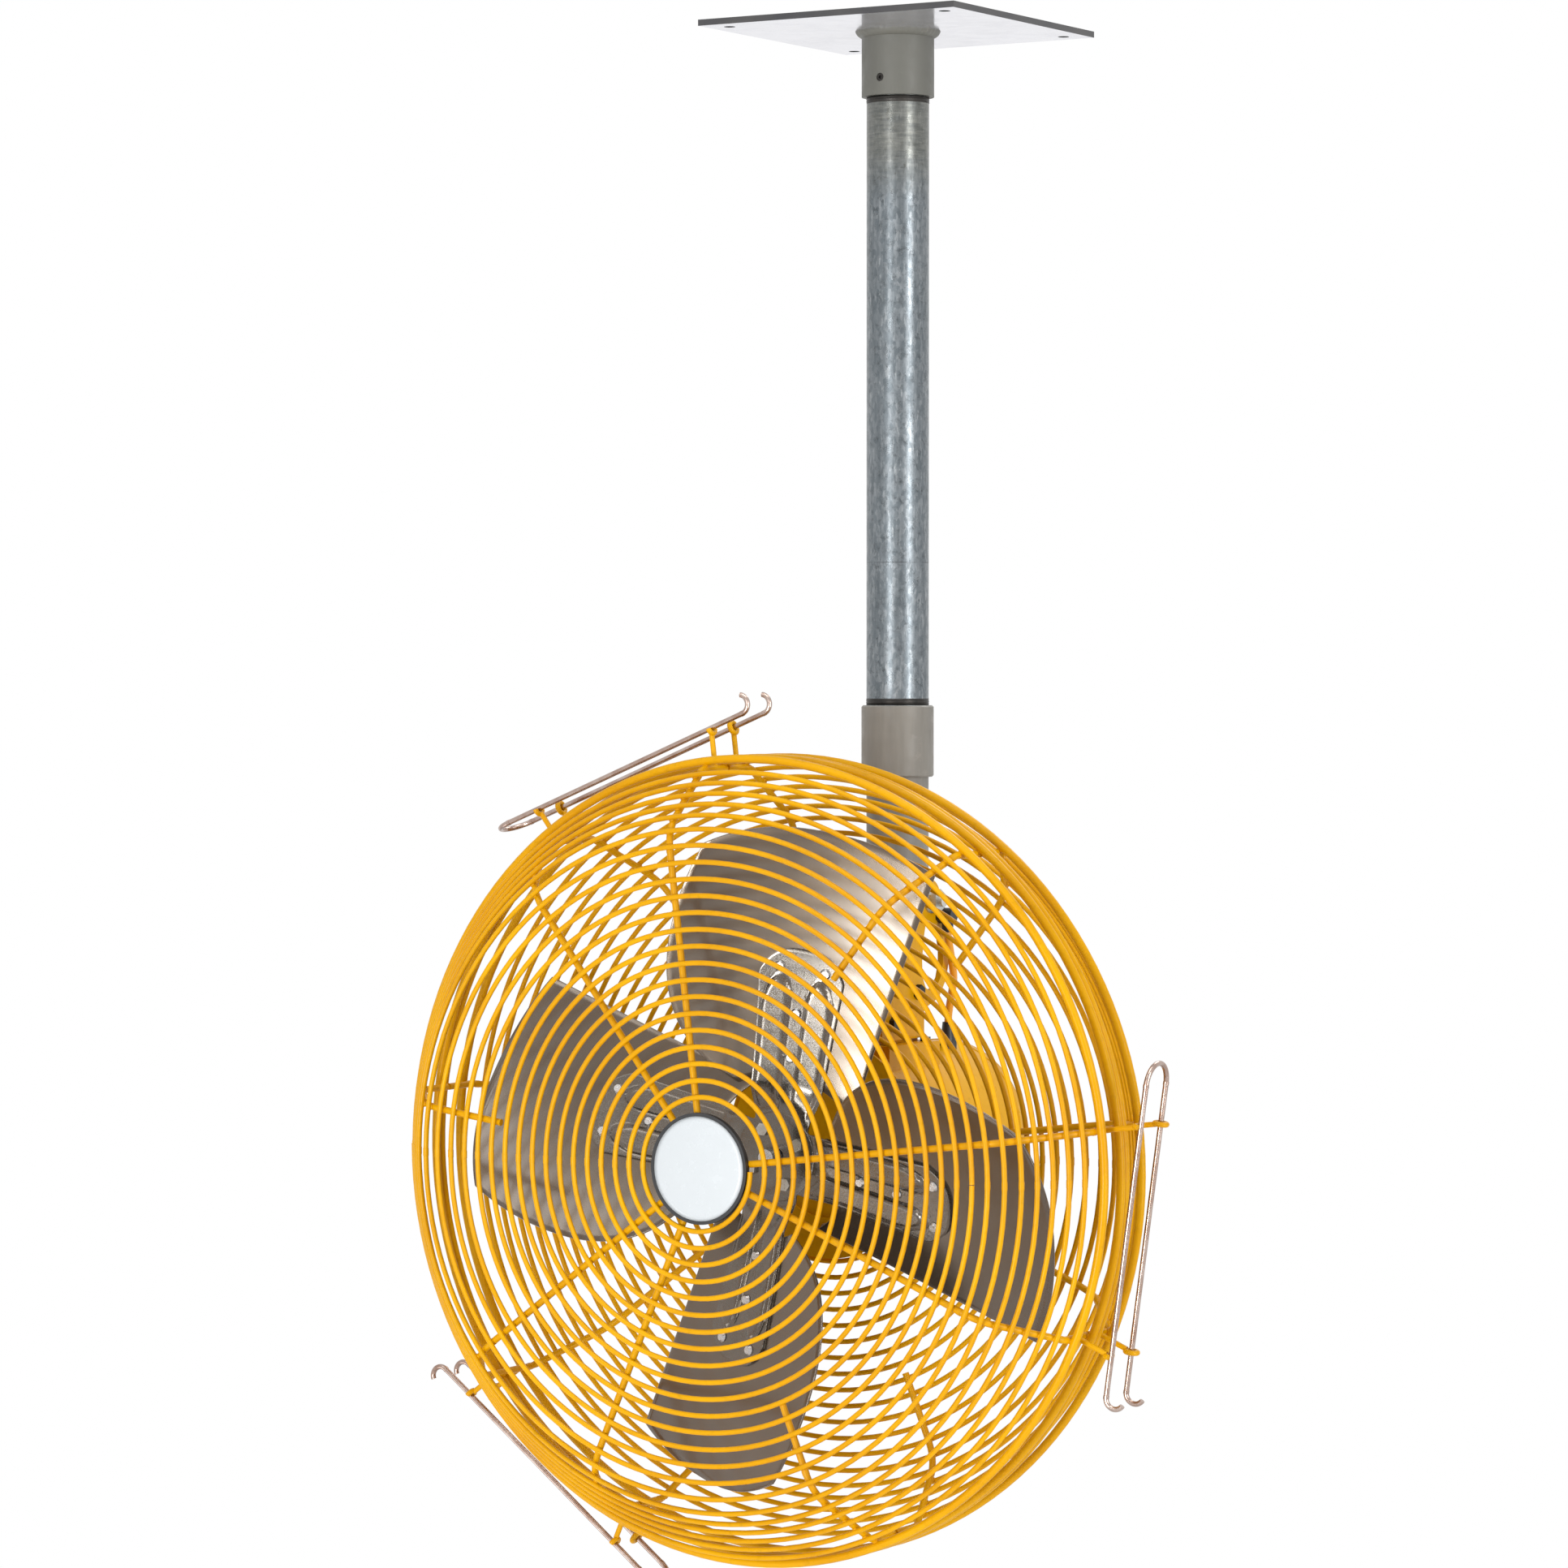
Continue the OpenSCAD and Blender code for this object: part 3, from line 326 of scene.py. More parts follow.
def galvanized(name):
    """Hot-dip zinc: spangle, long runs, stains, bright flecks, a warm bloom near the top, a ring mark."""
    made, tree, shader = material(name, (0.4, 0.43, 0.45), 0.85, 0.42)
    where = place(tree)
    stretched = place(tree, (1, 1, 0.5))
    cells = node(tree, "ShaderNodeTexVoronoi", {"Vector": stretched, "Scale": 330.0, "Randomness": 1.0})
    tone = node(tree, "ShaderNodeSeparateColor", {"Color": cells.outputs["Color"]}).outputs["Red"]
    spangle = blend_colours(tree, tone, (0.15, 0.172, 0.187), (0.26, 0.28, 0.295))
    runs = spread(tree, noise(tree, place(tree, (1, 1, 0.08)), 170, 6, 0.65), 0, 0.7)
    run_tone = blend_colours(tree, runs, spangle, (0.10, 0.117, 0.128))
    stains = spread(tree, noise(tree, where, 150, 8, 0.8), 0, 0.85, 0.53, 0.66)
    stained = blend_colours(tree, stains, run_tone, (0.06, 0.068, 0.072))
    bright = spread(tree, noise(tree, place(tree, (1, 1, 0.25)), 210, 6, 0.75), 0, 0.7, 0.56, 0.70)
    flecked = blend_colours(tree, bright, stained, (0.40, 0.42, 0.43))
    height = height_of(tree, where)
    near_top = spread(tree, height, 0, 0.6, *WARM_ZINC)
    scratches = spread(tree, noise(tree, place(tree, (0.12, 0.12, 1)), 420, 4, 0.7), 0, 1)
    bloom = blend_colours(tree, scratches, (0.10, 0.098, 0.08), (0.23, 0.222, 0.185))
    warm = blend_colours(tree, near_top, flecked, bloom)
    ring = node(tree, "ShaderNodeMath", {0: height, 1: RING_MARK, 2: 0.7 * MM}, operation="COMPARE")
    broken = spread(tree, noise(tree, where, 60, 4), 0, 0.65)
    mark = node(tree, "ShaderNodeMath", {0: ring.outputs[0], 1: broken}, operation="MULTIPLY").outputs[0]
    feed(tree, shader, "Base Color", blend_colours(tree, mark, warm, (0.07, 0.075, 0.08)))
    feed(tree, shader, "Roughness", spread(tree, noise(tree, where, 90, 6, 0.6), 0.24, 0.42))
    raise_surface(tree, shader, noise(tree, stretched, 420, 7, 0.65), 0.25, 0.0004)
    return made


def plain_metal(name, colour, roughness, second, scale=60):
    """Bare or plated metal with a fine grain and a second tone in patches."""
    made, tree, shader = material(name, colour, 1.0, roughness)
    where = place(tree)
    patches = spread(tree, noise(tree, where, scale, 6, 0.6), 0, 1)
    feed(tree, shader, "Base Color", blend_colours(tree, patches, colour, second))
    fine = noise(tree, where, 900, 3)
    feed(tree, shader, "Roughness", spread(tree, fine, roughness - 0.08, roughness + 0.12))
    raise_surface(tree, shader, fine, 0.08, 0.0002)
    return made


def blade_paint(name, colour):
    """Metallic grey paint with a fine flake, brown dust and a clear coat."""
    made, tree, shader = material(name, colour, 0.85, 0.3)
    where = place(tree)
    flake = node(tree, "ShaderNodeTexVoronoi", {"Vector": where, "Scale": 1500.0})
    flake_tone = node(tree, "ShaderNodeSeparateColor", {"Color": flake.outputs["Color"]}).outputs["Green"]
    flaked = blend_colours(tree, spread(tree, flake_tone, 0, 0.35, 0, 1), colour, shade(colour, 1.25))
    dust = spread(tree, noise(tree, where, 8, 6, 0.6), 0, 0.55, 0.45, 0.7)
    feed(tree, shader, "Base Color", blend_colours(tree, dust, flaked, (0.115, 0.088, 0.06)))
    feed(tree, shader, "Roughness", spread(tree, noise(tree, where, 24, 6), 0.17, 0.25))
    raise_surface(tree, shader, noise(tree, where, 120, 3), 0.03, 0.0002)
    shader.inputs["Coat Weight"].default_value = 1.0
    shader.inputs["Coat Roughness"].default_value = 0.12
    return made


def moulded(name, colour, roughness, grain=0.1, wear=0.86):
    """Moulded plastic with a fine texture and slight handling marks."""
    made, tree, shader = material(name, colour, roughness=roughness)
    where = place(tree)
    worn = spread(tree, noise(tree, where, 40, 6), 0, 0.5)
    feed(tree, shader, "Base Color", blend_colours(tree, worn, colour, shade(colour, wear)))
    rubbed = spread(tree, noise(tree, where, 90, 4), roughness - 0.06, roughness + 0.08)
    feed(tree, shader, "Roughness", rubbed)
    raise_surface(tree, shader, noise(tree, where, 1100, 2), grain, 0.0002)
    return made


def windings(name):
    """Varnished copper wire, seen as fine bands."""
    made, tree, shader = material(name, (0.42, 0.13, 0.04), 0.7, 0.35)
    laid = node(tree, "ShaderNodeTexWave",
        {"Vector": place(tree), "Scale": 260.0, "Distortion": 3.0, "Detail": 2.0}, bands_direction="Z")
    wires = laid.outputs["Fac"]
    feed(tree, shader, "Base Color", blend_colours(tree, wires, (0.22, 0.06, 0.02), (0.5, 0.17, 0.06)))
    raise_surface(tree, shader, wires, 0.6, 0.0006)
    return made


def stacked_steel(name):
    """Thin core sheets stacked along the shaft."""
    made, tree, shader = material(name, (0.16, 0.16, 0.17), 0.9, 0.45)
    stack = node(tree, "ShaderNodeTexWave",
        {"Vector": place(tree), "Scale": 330.0, "Distortion": 0.4}, bands_direction="Y")
    sheets = stack.outputs["Fac"]
    feed(tree, shader, "Base Color", blend_colours(tree, sheets, (0.08, 0.08, 0.085), (0.24, 0.24, 0.25)))
    raise_surface(tree, shader, sheets, 0.4, 0.0004)
    return made


def make_finishes():
    """One material for each of the record's slots."""
    paint = colours()
    return {
        "pale_enamel": plate_paint("pale_enamel", tuple(paint.plate)),
        "grey_paint": machine_paint("grey_paint", tuple(paint.fittings)),
        "galvanized": galvanized("galvanized"),
        "zinc_plate": plain_metal("zinc_plate", (0.62, 0.63, 0.62), 0.32, (0.5, 0.48, 0.42)),
        "black_hardware": plain_metal("black_hardware", (0.035, 0.034, 0.033), 0.42, (0.06, 0.055, 0.05)),
        "yellow_coat": powder_coat("yellow_coat", tuple(paint.guard)),
        "core_steel": stacked_steel("core_steel"),
        "winding": windings("winding"),
        "bright_steel": plain_metal("bright_steel", (0.68, 0.69, 0.70), 0.24, (0.55, 0.56, 0.57)),
        "black_plastic": moulded("black_plastic", (0.018, 0.018, 0.019), 0.45),
        "yellow_jacket": moulded("yellow_jacket", (0.86, 0.36, 0.012), 0.42, 0.2),
        "blade_metal": blade_paint("blade_metal", tuple(paint.blade)),
        "spider_metal": plain_metal("spider_metal", (0.21, 0.195, 0.175), 0.18, (0.185, 0.17, 0.15), 30),
        "white_plastic": moulded("white_plastic", (0.60, 0.63, 0.645), 0.22, 0.03, 0.97),
        "clip_wire": plain_metal("clip_wire", (0.52, 0.42, 0.37), 0.18, (0.36, 0.24, 0.19), 45),
    }


# The finishes by slot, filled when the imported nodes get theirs
FINISH = {}


# Making pieces

def eased(width):
    """A modifier that rounds sharp edges."""
    return "BEVEL", {"width": width, "segments": 2, "limit_method": "ANGLE"}


def eased_sheet(thickness, width):
    """Modifiers that give a surface its thickness and round the edges."""
    return [("SOLIDIFY", {"thickness": thickness, "offset": 0.0}), eased(width)]


def piece(name, mesh_builder, body, slot, replaces=(), modifiers=()):
    """Turns a filled bmesh into a piece that rides on a body and takes a slot's finish."""
    mesh = bpy.data.meshes.new(name)
    bmesh.ops.recalc_face_normals(mesh_builder, faces=mesh_builder.faces)
    mesh_builder.to_mesh(mesh)
    mesh_builder.free()
    mesh.polygons.foreach_set("use_smooth", [True] * len(mesh.polygons))
    made = bpy.data.objects.new(name, mesh)
    bpy.context.scene.collection.objects.link(made)
    made.data.materials.append(FINISH[slot])
    for kind, settings in modifiers:
        added = made.modifiers.new(kind.title(), kind)
        for key, value in settings.items():
            setattr(added, key, value)
    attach(made, body)
    if replaces:
        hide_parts(*replaces)


def fan_frame(turn=0.0):
    """From the fan's own frame, +Z forward and +Y up, to the row frame, at the blades' plane."""
    return Matrix.Translation(BLADE_CENTRE) @ FACE_FORWARD @ Matrix.Rotation(turn, 4, "Z")


def smooth_step(value):
    t = min(1.0, max(0.0, value))
    return t * t * (3 - 2 * t)


def mix(a, b, t):
    return a + (b - a) * t


def front_half(radius):
    """Width on the leading side of a blade's line: two parabolas that meet where the blade is widest."""
    tip = sizes().blade_radius
    widest = tip * WIDEST
    taper = 4.1 if radius < widest else 2.9
    return tip * FRONT_WIDTH - taper * (radius - widest) ** 2


def back_half(radius):
    """Width on the trailing side, which grows evenly outwards."""
    return sizes().blade_radius * BACK_AT_AXIS + BACK_GROWTH * radius


def sheet_height(x, y):
    """Height of the blade sheet's middle above the blades' plane."""
    size = sizes()
    radius = math.hypot(x, y)
    outwards = (radius - size.blade_root) / (size.blade_radius - size.blade_root)
    pitch = mix(size.root_pitch, size.tip_pitch, outwards)
    across = (x + front_half(radius)) / (front_half(radius) + back_half(radius))
    rise = smooth_step((radius - FLAT_MIDDLE) / (size.blade_root - 3 * MM - FLAT_MIDDLE))
    off_line = x * math.cos(size.blade_lead) - y * math.sin(size.blade_lead)
    return rise * (-off_line * math.tan(pitch) - size.camber * (1 - (2 * across - 1) ** 2))


def blade_place(u, v):
    """A point of the blade's sheet: u runs from leading to trailing edge, v from root to tip."""
    size = sizes()
    corner_cut = 0.049 if u < 0.5 else 0.012
    tip = size.blade_radius * (1 - corner_cut * abs(2 * u - 1) ** 3)
    radius = mix(size.blade_root, tip, v)
    sine_limit = 0.93
    lead = math.asin(min(sine_limit, front_half(radius) / radius))
    trail = -math.asin(min(sine_limit, back_half(radius) / radius))
    angle = mix(lead, trail, u)
    x, y = -radius * math.sin(angle), radius * math.cos(angle)
    return Vector((x, y, sheet_height(x, y)))


def formed_sheet(builder, columns, rows, shape):
    """A grid of columns by rows that shape(u, v) bends into its place."""
    grid = bmesh.ops.create_grid(builder, x_segments=columns, y_segments=rows, size=0.5)
    for vert in grid["verts"]:
        vert.co = shape(vert.co.x + 0.5, vert.co.y + 0.5)
    return grid["verts"]


def turned(builder, profile, steps):
    """Turns a closed line of radius and height pairs about Z and adds it to the builder."""
    verts = [builder.verts.new((radius, 0, height)) for radius, height in profile]
    edges = [builder.edges.new((verts[i], verts[(i + 1) % len(verts)])) for i in range(len(verts))]
    bmesh.ops.spin(builder, geom=verts + edges, axis=(0, 0, 1), cent=(0, 0, 0), angle=math.tau, steps=steps,
        use_merge=True)
    bmesh.ops.remove_doubles(builder, verts=builder.verts, dist=1e-6)


def lead_route():
    """The lead's points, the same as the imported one's."""
    relief = Vector((0.026, 0.0541, -0.98936))
    gland = Vector((0.03665, 0.017, -0.859))
    from_relief = [(0, 0, 0.024), (0.0005, 0, 0.032), (0.003, -0.0015, 0.043), (0.0075, -0.0055, 0.055),
                   (0.0125, -0.0115, 0.067)]
    past_ear = [(0.0425, 0.034, -0.052), (0.045, 0.026, -0.040), (0.046, 0.0206, -0.029),
                (0.0462, 0.0179, -0.021)]
    return ([relief + Vector(step) for step in from_relief]
        + [Vector((x, y, gland.z + z)) for x, y, z in past_ear]
        + [gland + Vector((0.0095, 0, -0.016))])


# Where the guard's wires cross its ribs

def guard_line(run):
    """Radius, height and lean of the guard's side at this run outwards from its axis."""
    size = sizes()
    flat = size.guard_radius - size.guard_side
    lean = min(max(0.0, run - flat) / size.guard_bend, size.guard_slope)
    past = max(0.0, run - flat - size.guard_bend * size.guard_slope)
    radius = min(run, flat) + size.guard_bend * math.sin(lean) + past * math.cos(lean)
    height = size.guard_depth - size.guard_bend * (1 - math.cos(lean)) - past * math.sin(lean)
    return radius, height, lean


def rib_places():
    """Angle of each rib, and the radius where it begins."""
    short_start = SHORT_RIB_START * (sizes().guard_radius - sizes().guard_side)
    halfway = 180 / len(CLIP_ANGLES)
    for clip in CLIP_ANGLES:
        yield math.radians(clip - CLIP_EYE_SPREAD), 0
        yield math.radians(clip + CLIP_EYE_SPREAD), 0
        yield math.radians(clip + halfway), short_start


def crossings(start, rib_angle):
    """Radius, height and lean where the spiral's half turns cross a rib."""
    size = sizes()
    half_step = size.wire_pitch / 2
    bend_run = size.guard_bend * size.guard_slope
    flat = size.guard_radius - size.guard_side
    bend_end = guard_line(flat + bend_run)[0]
    inside_hoop = 3.6 * MM
    last = flat + bend_run + (size.guard_radius - inside_hoop - bend_end) / math.cos(size.guard_slope)
    upper = math.sin(rib_angle) > 0
    for turn in range(int((last - start) / half_step)):
        if (turn % 2 == 1) != upper:
            continue
        side = -1 if upper else 1
        r0, z0, _ = guard_line(start + turn * half_step)
        r1, z1, _ = guard_line(start + (turn + 1) * half_step)
        middle = side * (r0 - r1) / 2
        span = math.hypot(r0 + r1, z1 - z0) / 2
        radius = middle * math.cos(rib_angle) + math.sqrt(span ** 2 - (middle * math.sin(rib_angle)) ** 2)
        done = (side * r0 - radius * math.cos(rib_angle)) / (side * (r0 + r1))
        _, _, lean = guard_line(start + (turn + done) * half_step)
        yield radius, mix(z0, z1, done), lean


def add_weld(builder, rib_angle, radius, height, lean, wire_radius, side):
    """A small flat nugget where a rib touches the inner side of a wire."""
    spot = (Matrix.Translation((0, BLADE_CENTRE.y - SPLIT_AHEAD, BLADE_CENTRE.z))
        @ FACE_FORWARD
        @ Matrix.Scale(side, 4, (0, 0, 1))
        @ Matrix.Rotation(rib_angle, 4, "Z")
        @ Matrix.Translation((radius, 0, height))
        @ Matrix.Rotation(lean, 4, "Y")
        @ Matrix.Translation((0, 0, -wire_radius))
        @ Matrix.Diagonal((*NUGGET, 1)))
    bmesh.ops.create_uvsphere(builder, u_segments=8, v_segments=5, radius=1, matrix=spot)


class CIRC_OT_finish_nodes(bpy.types.Operator):
    """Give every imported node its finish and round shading"""
    bl_idname = "circulator.finish_nodes"
    bl_label = "Finish packed nodes"

    def execute(self, context):
        FINISH.update(make_finishes())
        for name, part in frame["nodes"].items():
            part.data.materials.clear()
            part.data.materials.append(FINISH[SLOTS[name]])
            part.data.polygons.foreach_set("use_smooth", [True] * len(part.data.polygons))
            joined = part.modifiers.new("Join triangles", "WELD")
            joined.merge_threshold = 0.004 * MM
            corners = part.modifiers.new("Keep corners", "EDGE_SPLIT")
            corners.split_angle = math.radians(38)
        return {"FINISHED"}


class CIRC_OT_blades(bpy.types.Operator):
    """Roll the blades from sheet, with eased edges"""
    bl_idname = "circulator.blades"
    bl_label = "Blades"

    def execute(self, context):
        size = sizes()
        for k in range(size.blades):
            builder = bmesh.new()
            formed_sheet(builder, 36, 32, blade_place)
            bmesh.ops.transform(builder, matrix=fan_frame(size.arm_angle + k * math.tau / size.blades),
                verts=builder.verts)
            piece(f"blade_sheet_{k + 1}", builder, "rotor", "blade_metal", [f"blade_{k + 1}"],
                eased_sheet(size.blade_sheet, 0.6 * MM))
        return {"FINISHED"}


class CIRC_OT_spider(bpy.types.Operator):
    """Press the four-armed spider with its raised beads"""
    bl_idname = "circulator.spider"
    bl_label = "Spider"

    def execute(self, context):
        size = sizes()
        gap_to_blade = 0.35 * MM
        lift = size.blade_sheet / 2 + size.arm_sheet / 2 + gap_to_blade
        arm_start, end_round = 24 * MM, 26 * MM
        half_at_axis, widening = 27 * MM, 0.06
        bead_height, bead_line, bead_half, bead_end, bead_round = 4 * MM, 0.54, 0.34, 0.72, 0.15

        def arm_place(u, v):
            """Two raised beads run along the arm, each at bead_line of its half width."""
            off_middle = abs(2 * u - 1)
            y = mix(arm_start, size.arm_end - end_round * off_middle ** 3, v)
            half = half_at_axis + widening * y
            x = mix(-half, half, u)
            reach = math.hypot((off_middle - bead_line) / bead_half, max(0, (v - bead_end) / bead_round))
            bead = bead_height * smooth_step(v * 9 - 0.8) * smooth_step(4 * (1 - reach))
            return Vector((x, y, sheet_height(x, y) + lift + bead))

        builder = bmesh.new()
        for k in range(size.blades):
            arm = formed_sheet(builder, 50, 64, arm_place)
            turn = Matrix.Rotation(size.arm_angle + k * math.tau / size.blades, 3, "Z")
            bmesh.ops.rotate(builder, verts=arm, matrix=turn)
        bmesh.ops.transform(builder, matrix=fan_frame(), verts=builder.verts)
        piece("spider_arms", builder, "rotor", "spider_metal", ["spider"],
            eased_sheet(size.arm_sheet, 0.7 * MM))
        disc = bmesh.new()
        profile = [(8.5, -2), (42, -2), (42, 2), (8.5, 2)]
        turned(disc, [(r * MM, lift + z * MM) for r, z in profile], 64)
        bmesh.ops.transform(disc, matrix=fan_frame(), verts=disc.verts)
        piece("spider_disc", disc, "rotor", "spider_metal", [], [eased(0.6 * MM)])
        return {"FINISHED"}


class CIRC_OT_lead(bpy.types.Operator):
    """Run the motor's lead from its strain relief up to the gland on the ear"""
    bl_idname = "circulator.lead"
    bl_label = "Motor lead"

    def execute(self, context):
        size = sizes()
        route = lead_route()
        line = bpy.data.curves.new("motor_lead_cord", "CURVE")
        line.dimensions = "3D"
        line.bevel_depth = size.lead_diameter / 2
        line.bevel_resolution = 6
        line.resolution_u = 10
        line.use_fill_caps = True
        spline = line.splines.new("BEZIER")
        spline.bezier_points.add(len(route) - 1)
        for i, point in enumerate(spline.bezier_points):
            slant = (route[min(i + 1, len(route) - 1)] - route[max(i - 1, 0)]) / 6
            point.handle_left_type = "FREE"
            point.handle_right_type = "FREE"
            point.co = route[i]
            point.handle_left = route[i] - slant
            point.handle_right = route[i] + slant
        lead = bpy.data.objects.new("motor_lead_cord", line)
        context.scene.collection.objects.link(lead)
        line.materials.append(FINISH["yellow_jacket"])
        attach(lead, "head")
        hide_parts("motor_lead")
        return {"FINISHED"}


class CIRC_OT_threads(bpy.types.Operator):
    """Turn the dark threads that show on the pipe beside the socket and the coupling"""
    bl_idname = "circulator.threads"
    bl_label = "Pipe threads"

    def execute(self, context):
        size = sizes()
        pitch, turns, steps = 2.2 * MM, 2, 48
        band = pitch * (turns + 1)
        gap = 0.2 * MM
        below_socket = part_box("ceiling_socket")[0][2] - band - gap
        above_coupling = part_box("pipe_coupling")[1][2] + gap
        for name, low in (("socket_threads", below_socket), ("coupling_threads", above_coupling)):
            builder = bmesh.new()
            ridge = [(-0.3, 0.15), (0.5, 1.1), (-0.3, 2.05)]
            verts = [builder.verts.new((size.pipe_radius + r * MM, 0, low + z * MM)) for r, z in ridge]
            edges = [builder.edges.new((verts[i], verts[(i + 1) % 3])) for i in range(3)]
            bmesh.ops.spin(builder, geom=verts + edges, axis=(0, 0, 1), cent=(0, 0, 0),
                dvec=(0, 0, pitch / steps), angle=math.tau * turns, steps=steps * turns)
            bmesh.ops.holes_fill(builder, edges=builder.edges, sides=3)
            band_line = [(-0.3, low), (0.12, low + gap), (0.12, low + band - gap), (-0.3, low + band)]
            turned(builder, [(size.pipe_radius + r * MM, z) for r, z in band_line], 72)
            piece(name, builder, "drop", "black_hardware")
        return {"FINISHED"}


class CIRC_OT_plate_weld(bpy.types.Operator):
    """Lay the rippled weld bead between the plate and the socket"""
    bl_idname = "circulator.plate_weld"
    bl_label = "Plate weld"

    def execute(self, context):
        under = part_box("ceiling_plate")[0][2]
        inner = sizes().socket_radius
        builder = bmesh.new()
        leg, crown, proud = 6.1 * MM, 0.75 * MM, 0.1 * MM
        into_plate, into_socket = 0.4 * MM, 1.5 * MM
        ripples, ripple_depth = 42, 0.4 * MM
        profile = [(inner - into_socket, under + into_plate), (inner - into_socket, under - leg)]
        for step in range(9):
            along = step / 8
            bulge = crown * math.sin(math.pi * along) + proud
            profile.append((inner + leg * along + bulge, under - leg * (1 - along) - bulge))
        profile.append((inner + leg, under + into_plate))
        turned(builder, profile, 168)
        for vert in builder.verts:
            angle = math.atan2(vert.co.y, vert.co.x)
            away = math.hypot(vert.co.x, vert.co.y)
            if away > inner:
                fade = smooth_step((away - inner) / (3 * MM))
                ripple = ripple_depth * abs(math.sin(ripples / 2 * angle)) * fade
                vert.co.x -= ripple * math.cos(angle)
                vert.co.y -= ripple * math.sin(angle)
        piece("plate_weld_bead", builder, "ceiling_mount", "grey_paint")
        return {"FINISHED"}


class CIRC_OT_guard_welds(bpy.types.Operator):
    """Spot-weld the spiral wires and the hoops to the ribs of both halves of the guard"""
    bl_idname = "circulator.guard_welds"
    bl_label = "Guard welds"

    def execute(self, context):
        size = sizes()
        first_front = size.badge_radius + 2.8 * MM
        first_rear = size.motor_radius + 15 * MM
        halves = (("front_guard_welds", "front_guard", first_front, 1),
                  ("rear_guard_welds", "head", first_rear, -1))
        for name, body, start, side in halves:
            builder = bmesh.new()
            for rib_angle, reach in rib_places():
                for radius, height, lean in crossings(start, rib_angle):
                    if radius > reach:
                        add_weld(builder, rib_angle, radius, height, lean, WIRE_RADIUS, side)
                for height in HOOP_HEIGHTS:
                    add_weld(builder, rib_angle, size.guard_radius, height, math.pi / 2, HOOP_RADIUS, side)
            piece(name, builder, body, "yellow_coat")
        return {"FINISHED"}


class CIRC_OT_motor_seams(bpy.types.Operator):
    """Roll the lips where the motor's end bells meet its shell"""
    bl_idname = "circulator.motor_seams"
    bl_label = "Motor seams"

    def execute(self, context):
        size = sizes()
        front, back = (corner[1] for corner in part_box("motor_shell"))
        axis = Vector((0, 0, BLADE_CENTRE.z))
        for name, where in (("front_bell_lip", front), ("rear_bell_lip", back)):
            builder = bmesh.new()
            lip = [(-0.6, -1.6), (0.5, -1.3), (0.8, -0.7), (0.8, 0.7), (0.5, 1.3), (-0.6, 1.6)]
            turned(builder, [(size.motor_radius + r * MM, z * MM) for r, z in lip], 128)
            spot = Matrix.Translation(axis + Vector((0, where, 0))) @ FACE_FORWARD
            bmesh.ops.transform(builder, matrix=spot, verts=builder.verts)
            piece(name, builder, "head", "yellow_coat")
        return {"FINISHED"}


class CIRC_OT_badge_face(bpy.types.Operator):
    """Dome the badge's bare white face"""
    bl_idname = "circulator.badge_face"
    bl_label = "Badge face"

    def execute(self, context):
        inside_rim, dome, lift, sunk = 3.4 * MM, 2.6 * MM, 0.05 * MM, 0.5 * MM
        edge = sizes().badge_radius - inside_rim
        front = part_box("badge_plate")[0][1]
        rings = [i / 10 for i in range(11)]
        profile = [(edge * r, dome * (1 - r * r) + lift) for r in rings] + [(edge, -sunk), (0, -sunk)]
        builder = bmesh.new()
        turned(builder, profile, 96)
        spot = Matrix.Translation((0, front, BLADE_CENTRE.z)) @ FACE_FORWARD
        bmesh.ops.transform(builder, matrix=spot, verts=builder.verts)
        piece("badge_face", builder, "front_guard", "white_plastic")
        return {"FINISHED"}


# The studio

def lay_floor(scene):
    builder = bmesh.new()
    bmesh.ops.create_circle(builder, cap_ends=True, segments=96, radius=FLOOR_RADIUS)
    bmesh.ops.translate(builder, vec=(0, 0, FLOOR_HEIGHT), verts=builder.verts)
    mesh = bpy.data.meshes.new("studio_floor")
    builder.to_mesh(mesh)
    builder.free()
    floor = bpy.data.objects.new("studio_floor", mesh)
    scene.collection.objects.link(floor)
    pale, _, _ = material("studio_pale", (0.9, 0.9, 0.9), roughness=0.8)
    floor.data.materials.append(pale)


def fill_world(scene):
    """White to the camera and in reflections. It lights surfaces half as strongly, and a little cool."""
    world = bpy.data.worlds.new("studio_world")
    scene.world = world
    world.use_nodes = True
    tree = world.node_tree
    rays = node(tree, "ShaderNodeLightPath")
    seen = rays.outputs["Is Camera Ray"]
    for ray in ("Is Glossy Ray", "Is Transmission Ray"):
        either = node(tree, "ShaderNodeMath", {0: seen, 1: rays.outputs[ray]}, operation="MAXIMUM")
        seen = either.outputs[0]
    backdrop = tree.nodes["Background"]
    strength = node(tree, "ShaderNodeMapRange", {"Value": seen, "To Min": 0.5, "To Max": 1.0})
    tint = blend_colours(tree, seen, (0.97, 0.98, 1.0), (1.0, 1.0, 1.0))
    tree.links.new(strength.outputs["Result"], backdrop.inputs["Strength"])
    tree.links.new(tint, backdrop.inputs["Color"])


def hang_softbox(scene, name, turn, rise, away, width, tall, power):
    lamp = bpy.data.lights.new(name, "AREA")
    lamp.shape = "RECTANGLE"
    lamp.size = width
    lamp.size_y = tall
    lamp.energy = power
    holder = bpy.data.objects.new(name, lamp)
    turn, rise = math.radians(turn), math.radians(rise)
    level = math.cos(rise)
    outwards = Vector((math.sin(turn) * level, -math.cos(turn) * level, math.sin(rise)))
    holder.location = MIDDLE + away * outwards
    holder.rotation_euler = (-outwards).to_track_quat("-Z", "Y").to_euler()
    scene.collection.objects.link(holder)


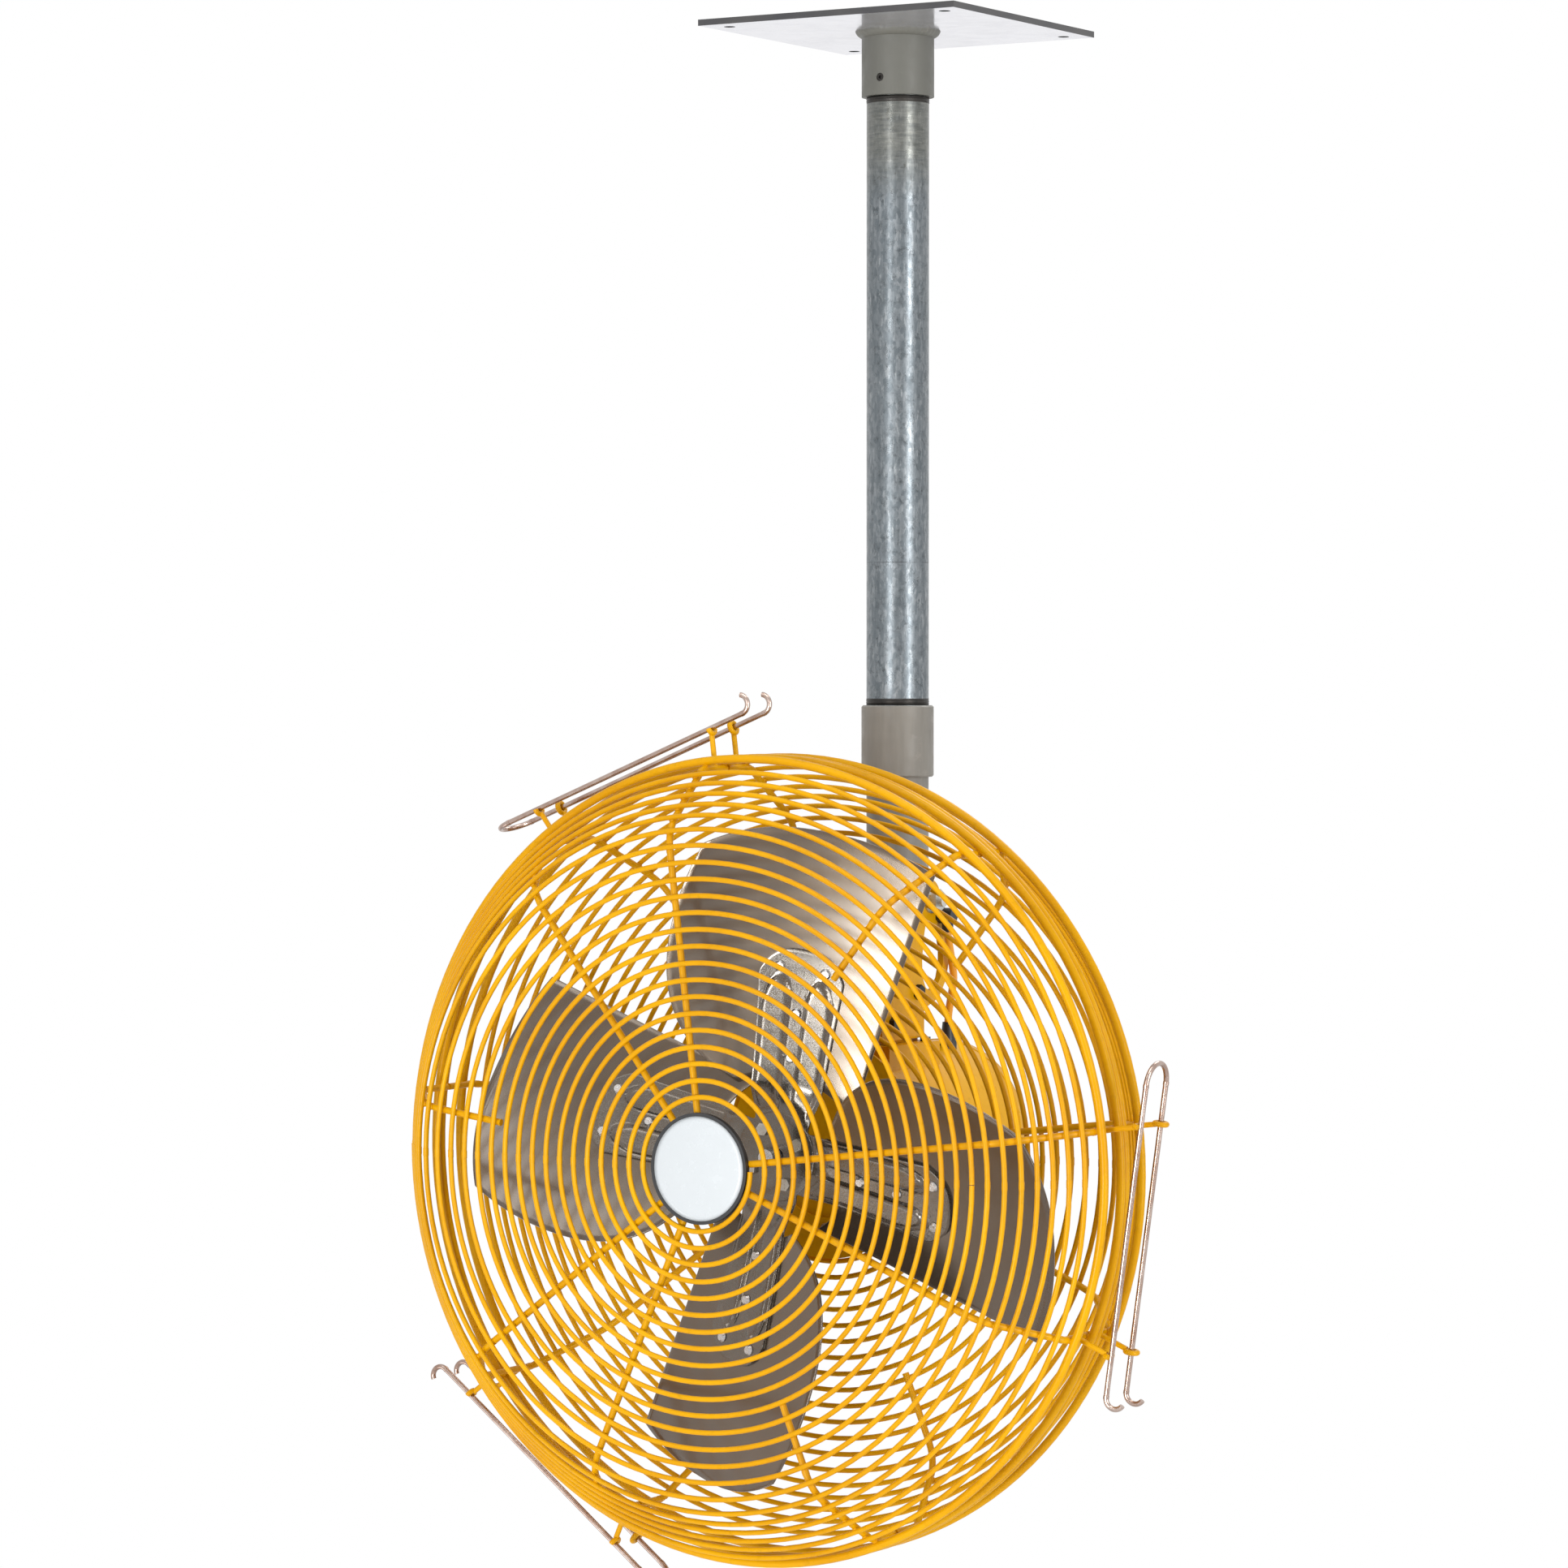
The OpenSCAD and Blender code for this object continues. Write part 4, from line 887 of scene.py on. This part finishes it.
def set_camera(scene):
    """The camera looks in from the right, a little downwards, as the photograph does."""
    level = Vector((-math.sin(CAMERA_AZIMUTH), math.cos(CAMERA_AZIMUTH), 0))
    right = Vector((math.cos(CAMERA_AZIMUTH), math.sin(CAMERA_AZIMUTH), 0))
    ahead = level * math.cos(CAMERA_PITCH) - Vector((0, 0, math.sin(CAMERA_PITCH)))
    lens = bpy.data.cameras.new("photo_camera")
    lens.sensor_width = SENSOR_MM
    lens.lens = FOCAL_PIXELS / PHOTO_WIDTH_PIXELS * SENSOR_MM
    camera = bpy.data.objects.new("photo_camera", lens)
    camera.location = -CAMERA_DISTANCE * level + CAMERA_ASIDE * right + Vector((0, 0, CAMERA_HEIGHT))
    camera.rotation_euler = ahead.to_track_quat("-Z", "Y").to_euler()
    scene.collection.objects.link(camera)
    scene.camera = camera


class CIRC_OT_stage(bpy.types.Operator):
    """Set the floor, the lamps and the camera"""
    bl_idname = "circulator.stage"
    bl_label = "Stage"

    def execute(self, context):
        scene = context.scene
        lay_floor(scene)
        fill_world(scene)
        for name, numbers in SOFTBOXES.items():
            hang_softbox(scene, name, *numbers)
        set_camera(scene)
        scene.view_settings.view_transform = "Standard"
        return {"FINISHED"}


STEPS = (CIRC_OT_stage, CIRC_OT_finish_nodes, CIRC_OT_lead, CIRC_OT_blades, CIRC_OT_spider, CIRC_OT_threads,
         CIRC_OT_plate_weld, CIRC_OT_guard_welds, CIRC_OT_motor_seams, CIRC_OT_badge_face)


class CIRC_PT_sidebar(bpy.types.Panel):
    """Lists the sizes, the colours and the steps"""
    bl_idname = "CIRC_PT_sidebar"
    bl_label = "Air circulator"
    bl_space_type = "VIEW_3D"
    bl_region_type = "UI"
    bl_category = "Circulator"

    def draw(self, context):
        for group in (context.scene.circulator_sizes, context.scene.circulator_colours):
            for name in group.__annotations__:
                self.layout.prop(group, name)
        for step in STEPS:
            self.layout.operator(step.bl_idname)


CLASSES = (CirculatorSizes, CirculatorColours, *STEPS, CIRC_PT_sidebar)


def register():
    for each in CLASSES:
        bpy.utils.register_class(each)
    bpy.types.Scene.circulator_sizes = PointerProperty(type=CirculatorSizes)
    bpy.types.Scene.circulator_colours = PointerProperty(type=CirculatorColours)


def unregister():
    del bpy.types.Scene.circulator_colours
    del bpy.types.Scene.circulator_sizes
    for each in reversed(CLASSES):
        bpy.utils.unregister_class(each)


def main():
    register()
    for step in STEPS:
        group, _, name = step.bl_idname.partition(".")
        getattr(getattr(bpy.ops, group), name)()


if __name__ == "__main__":
    main()
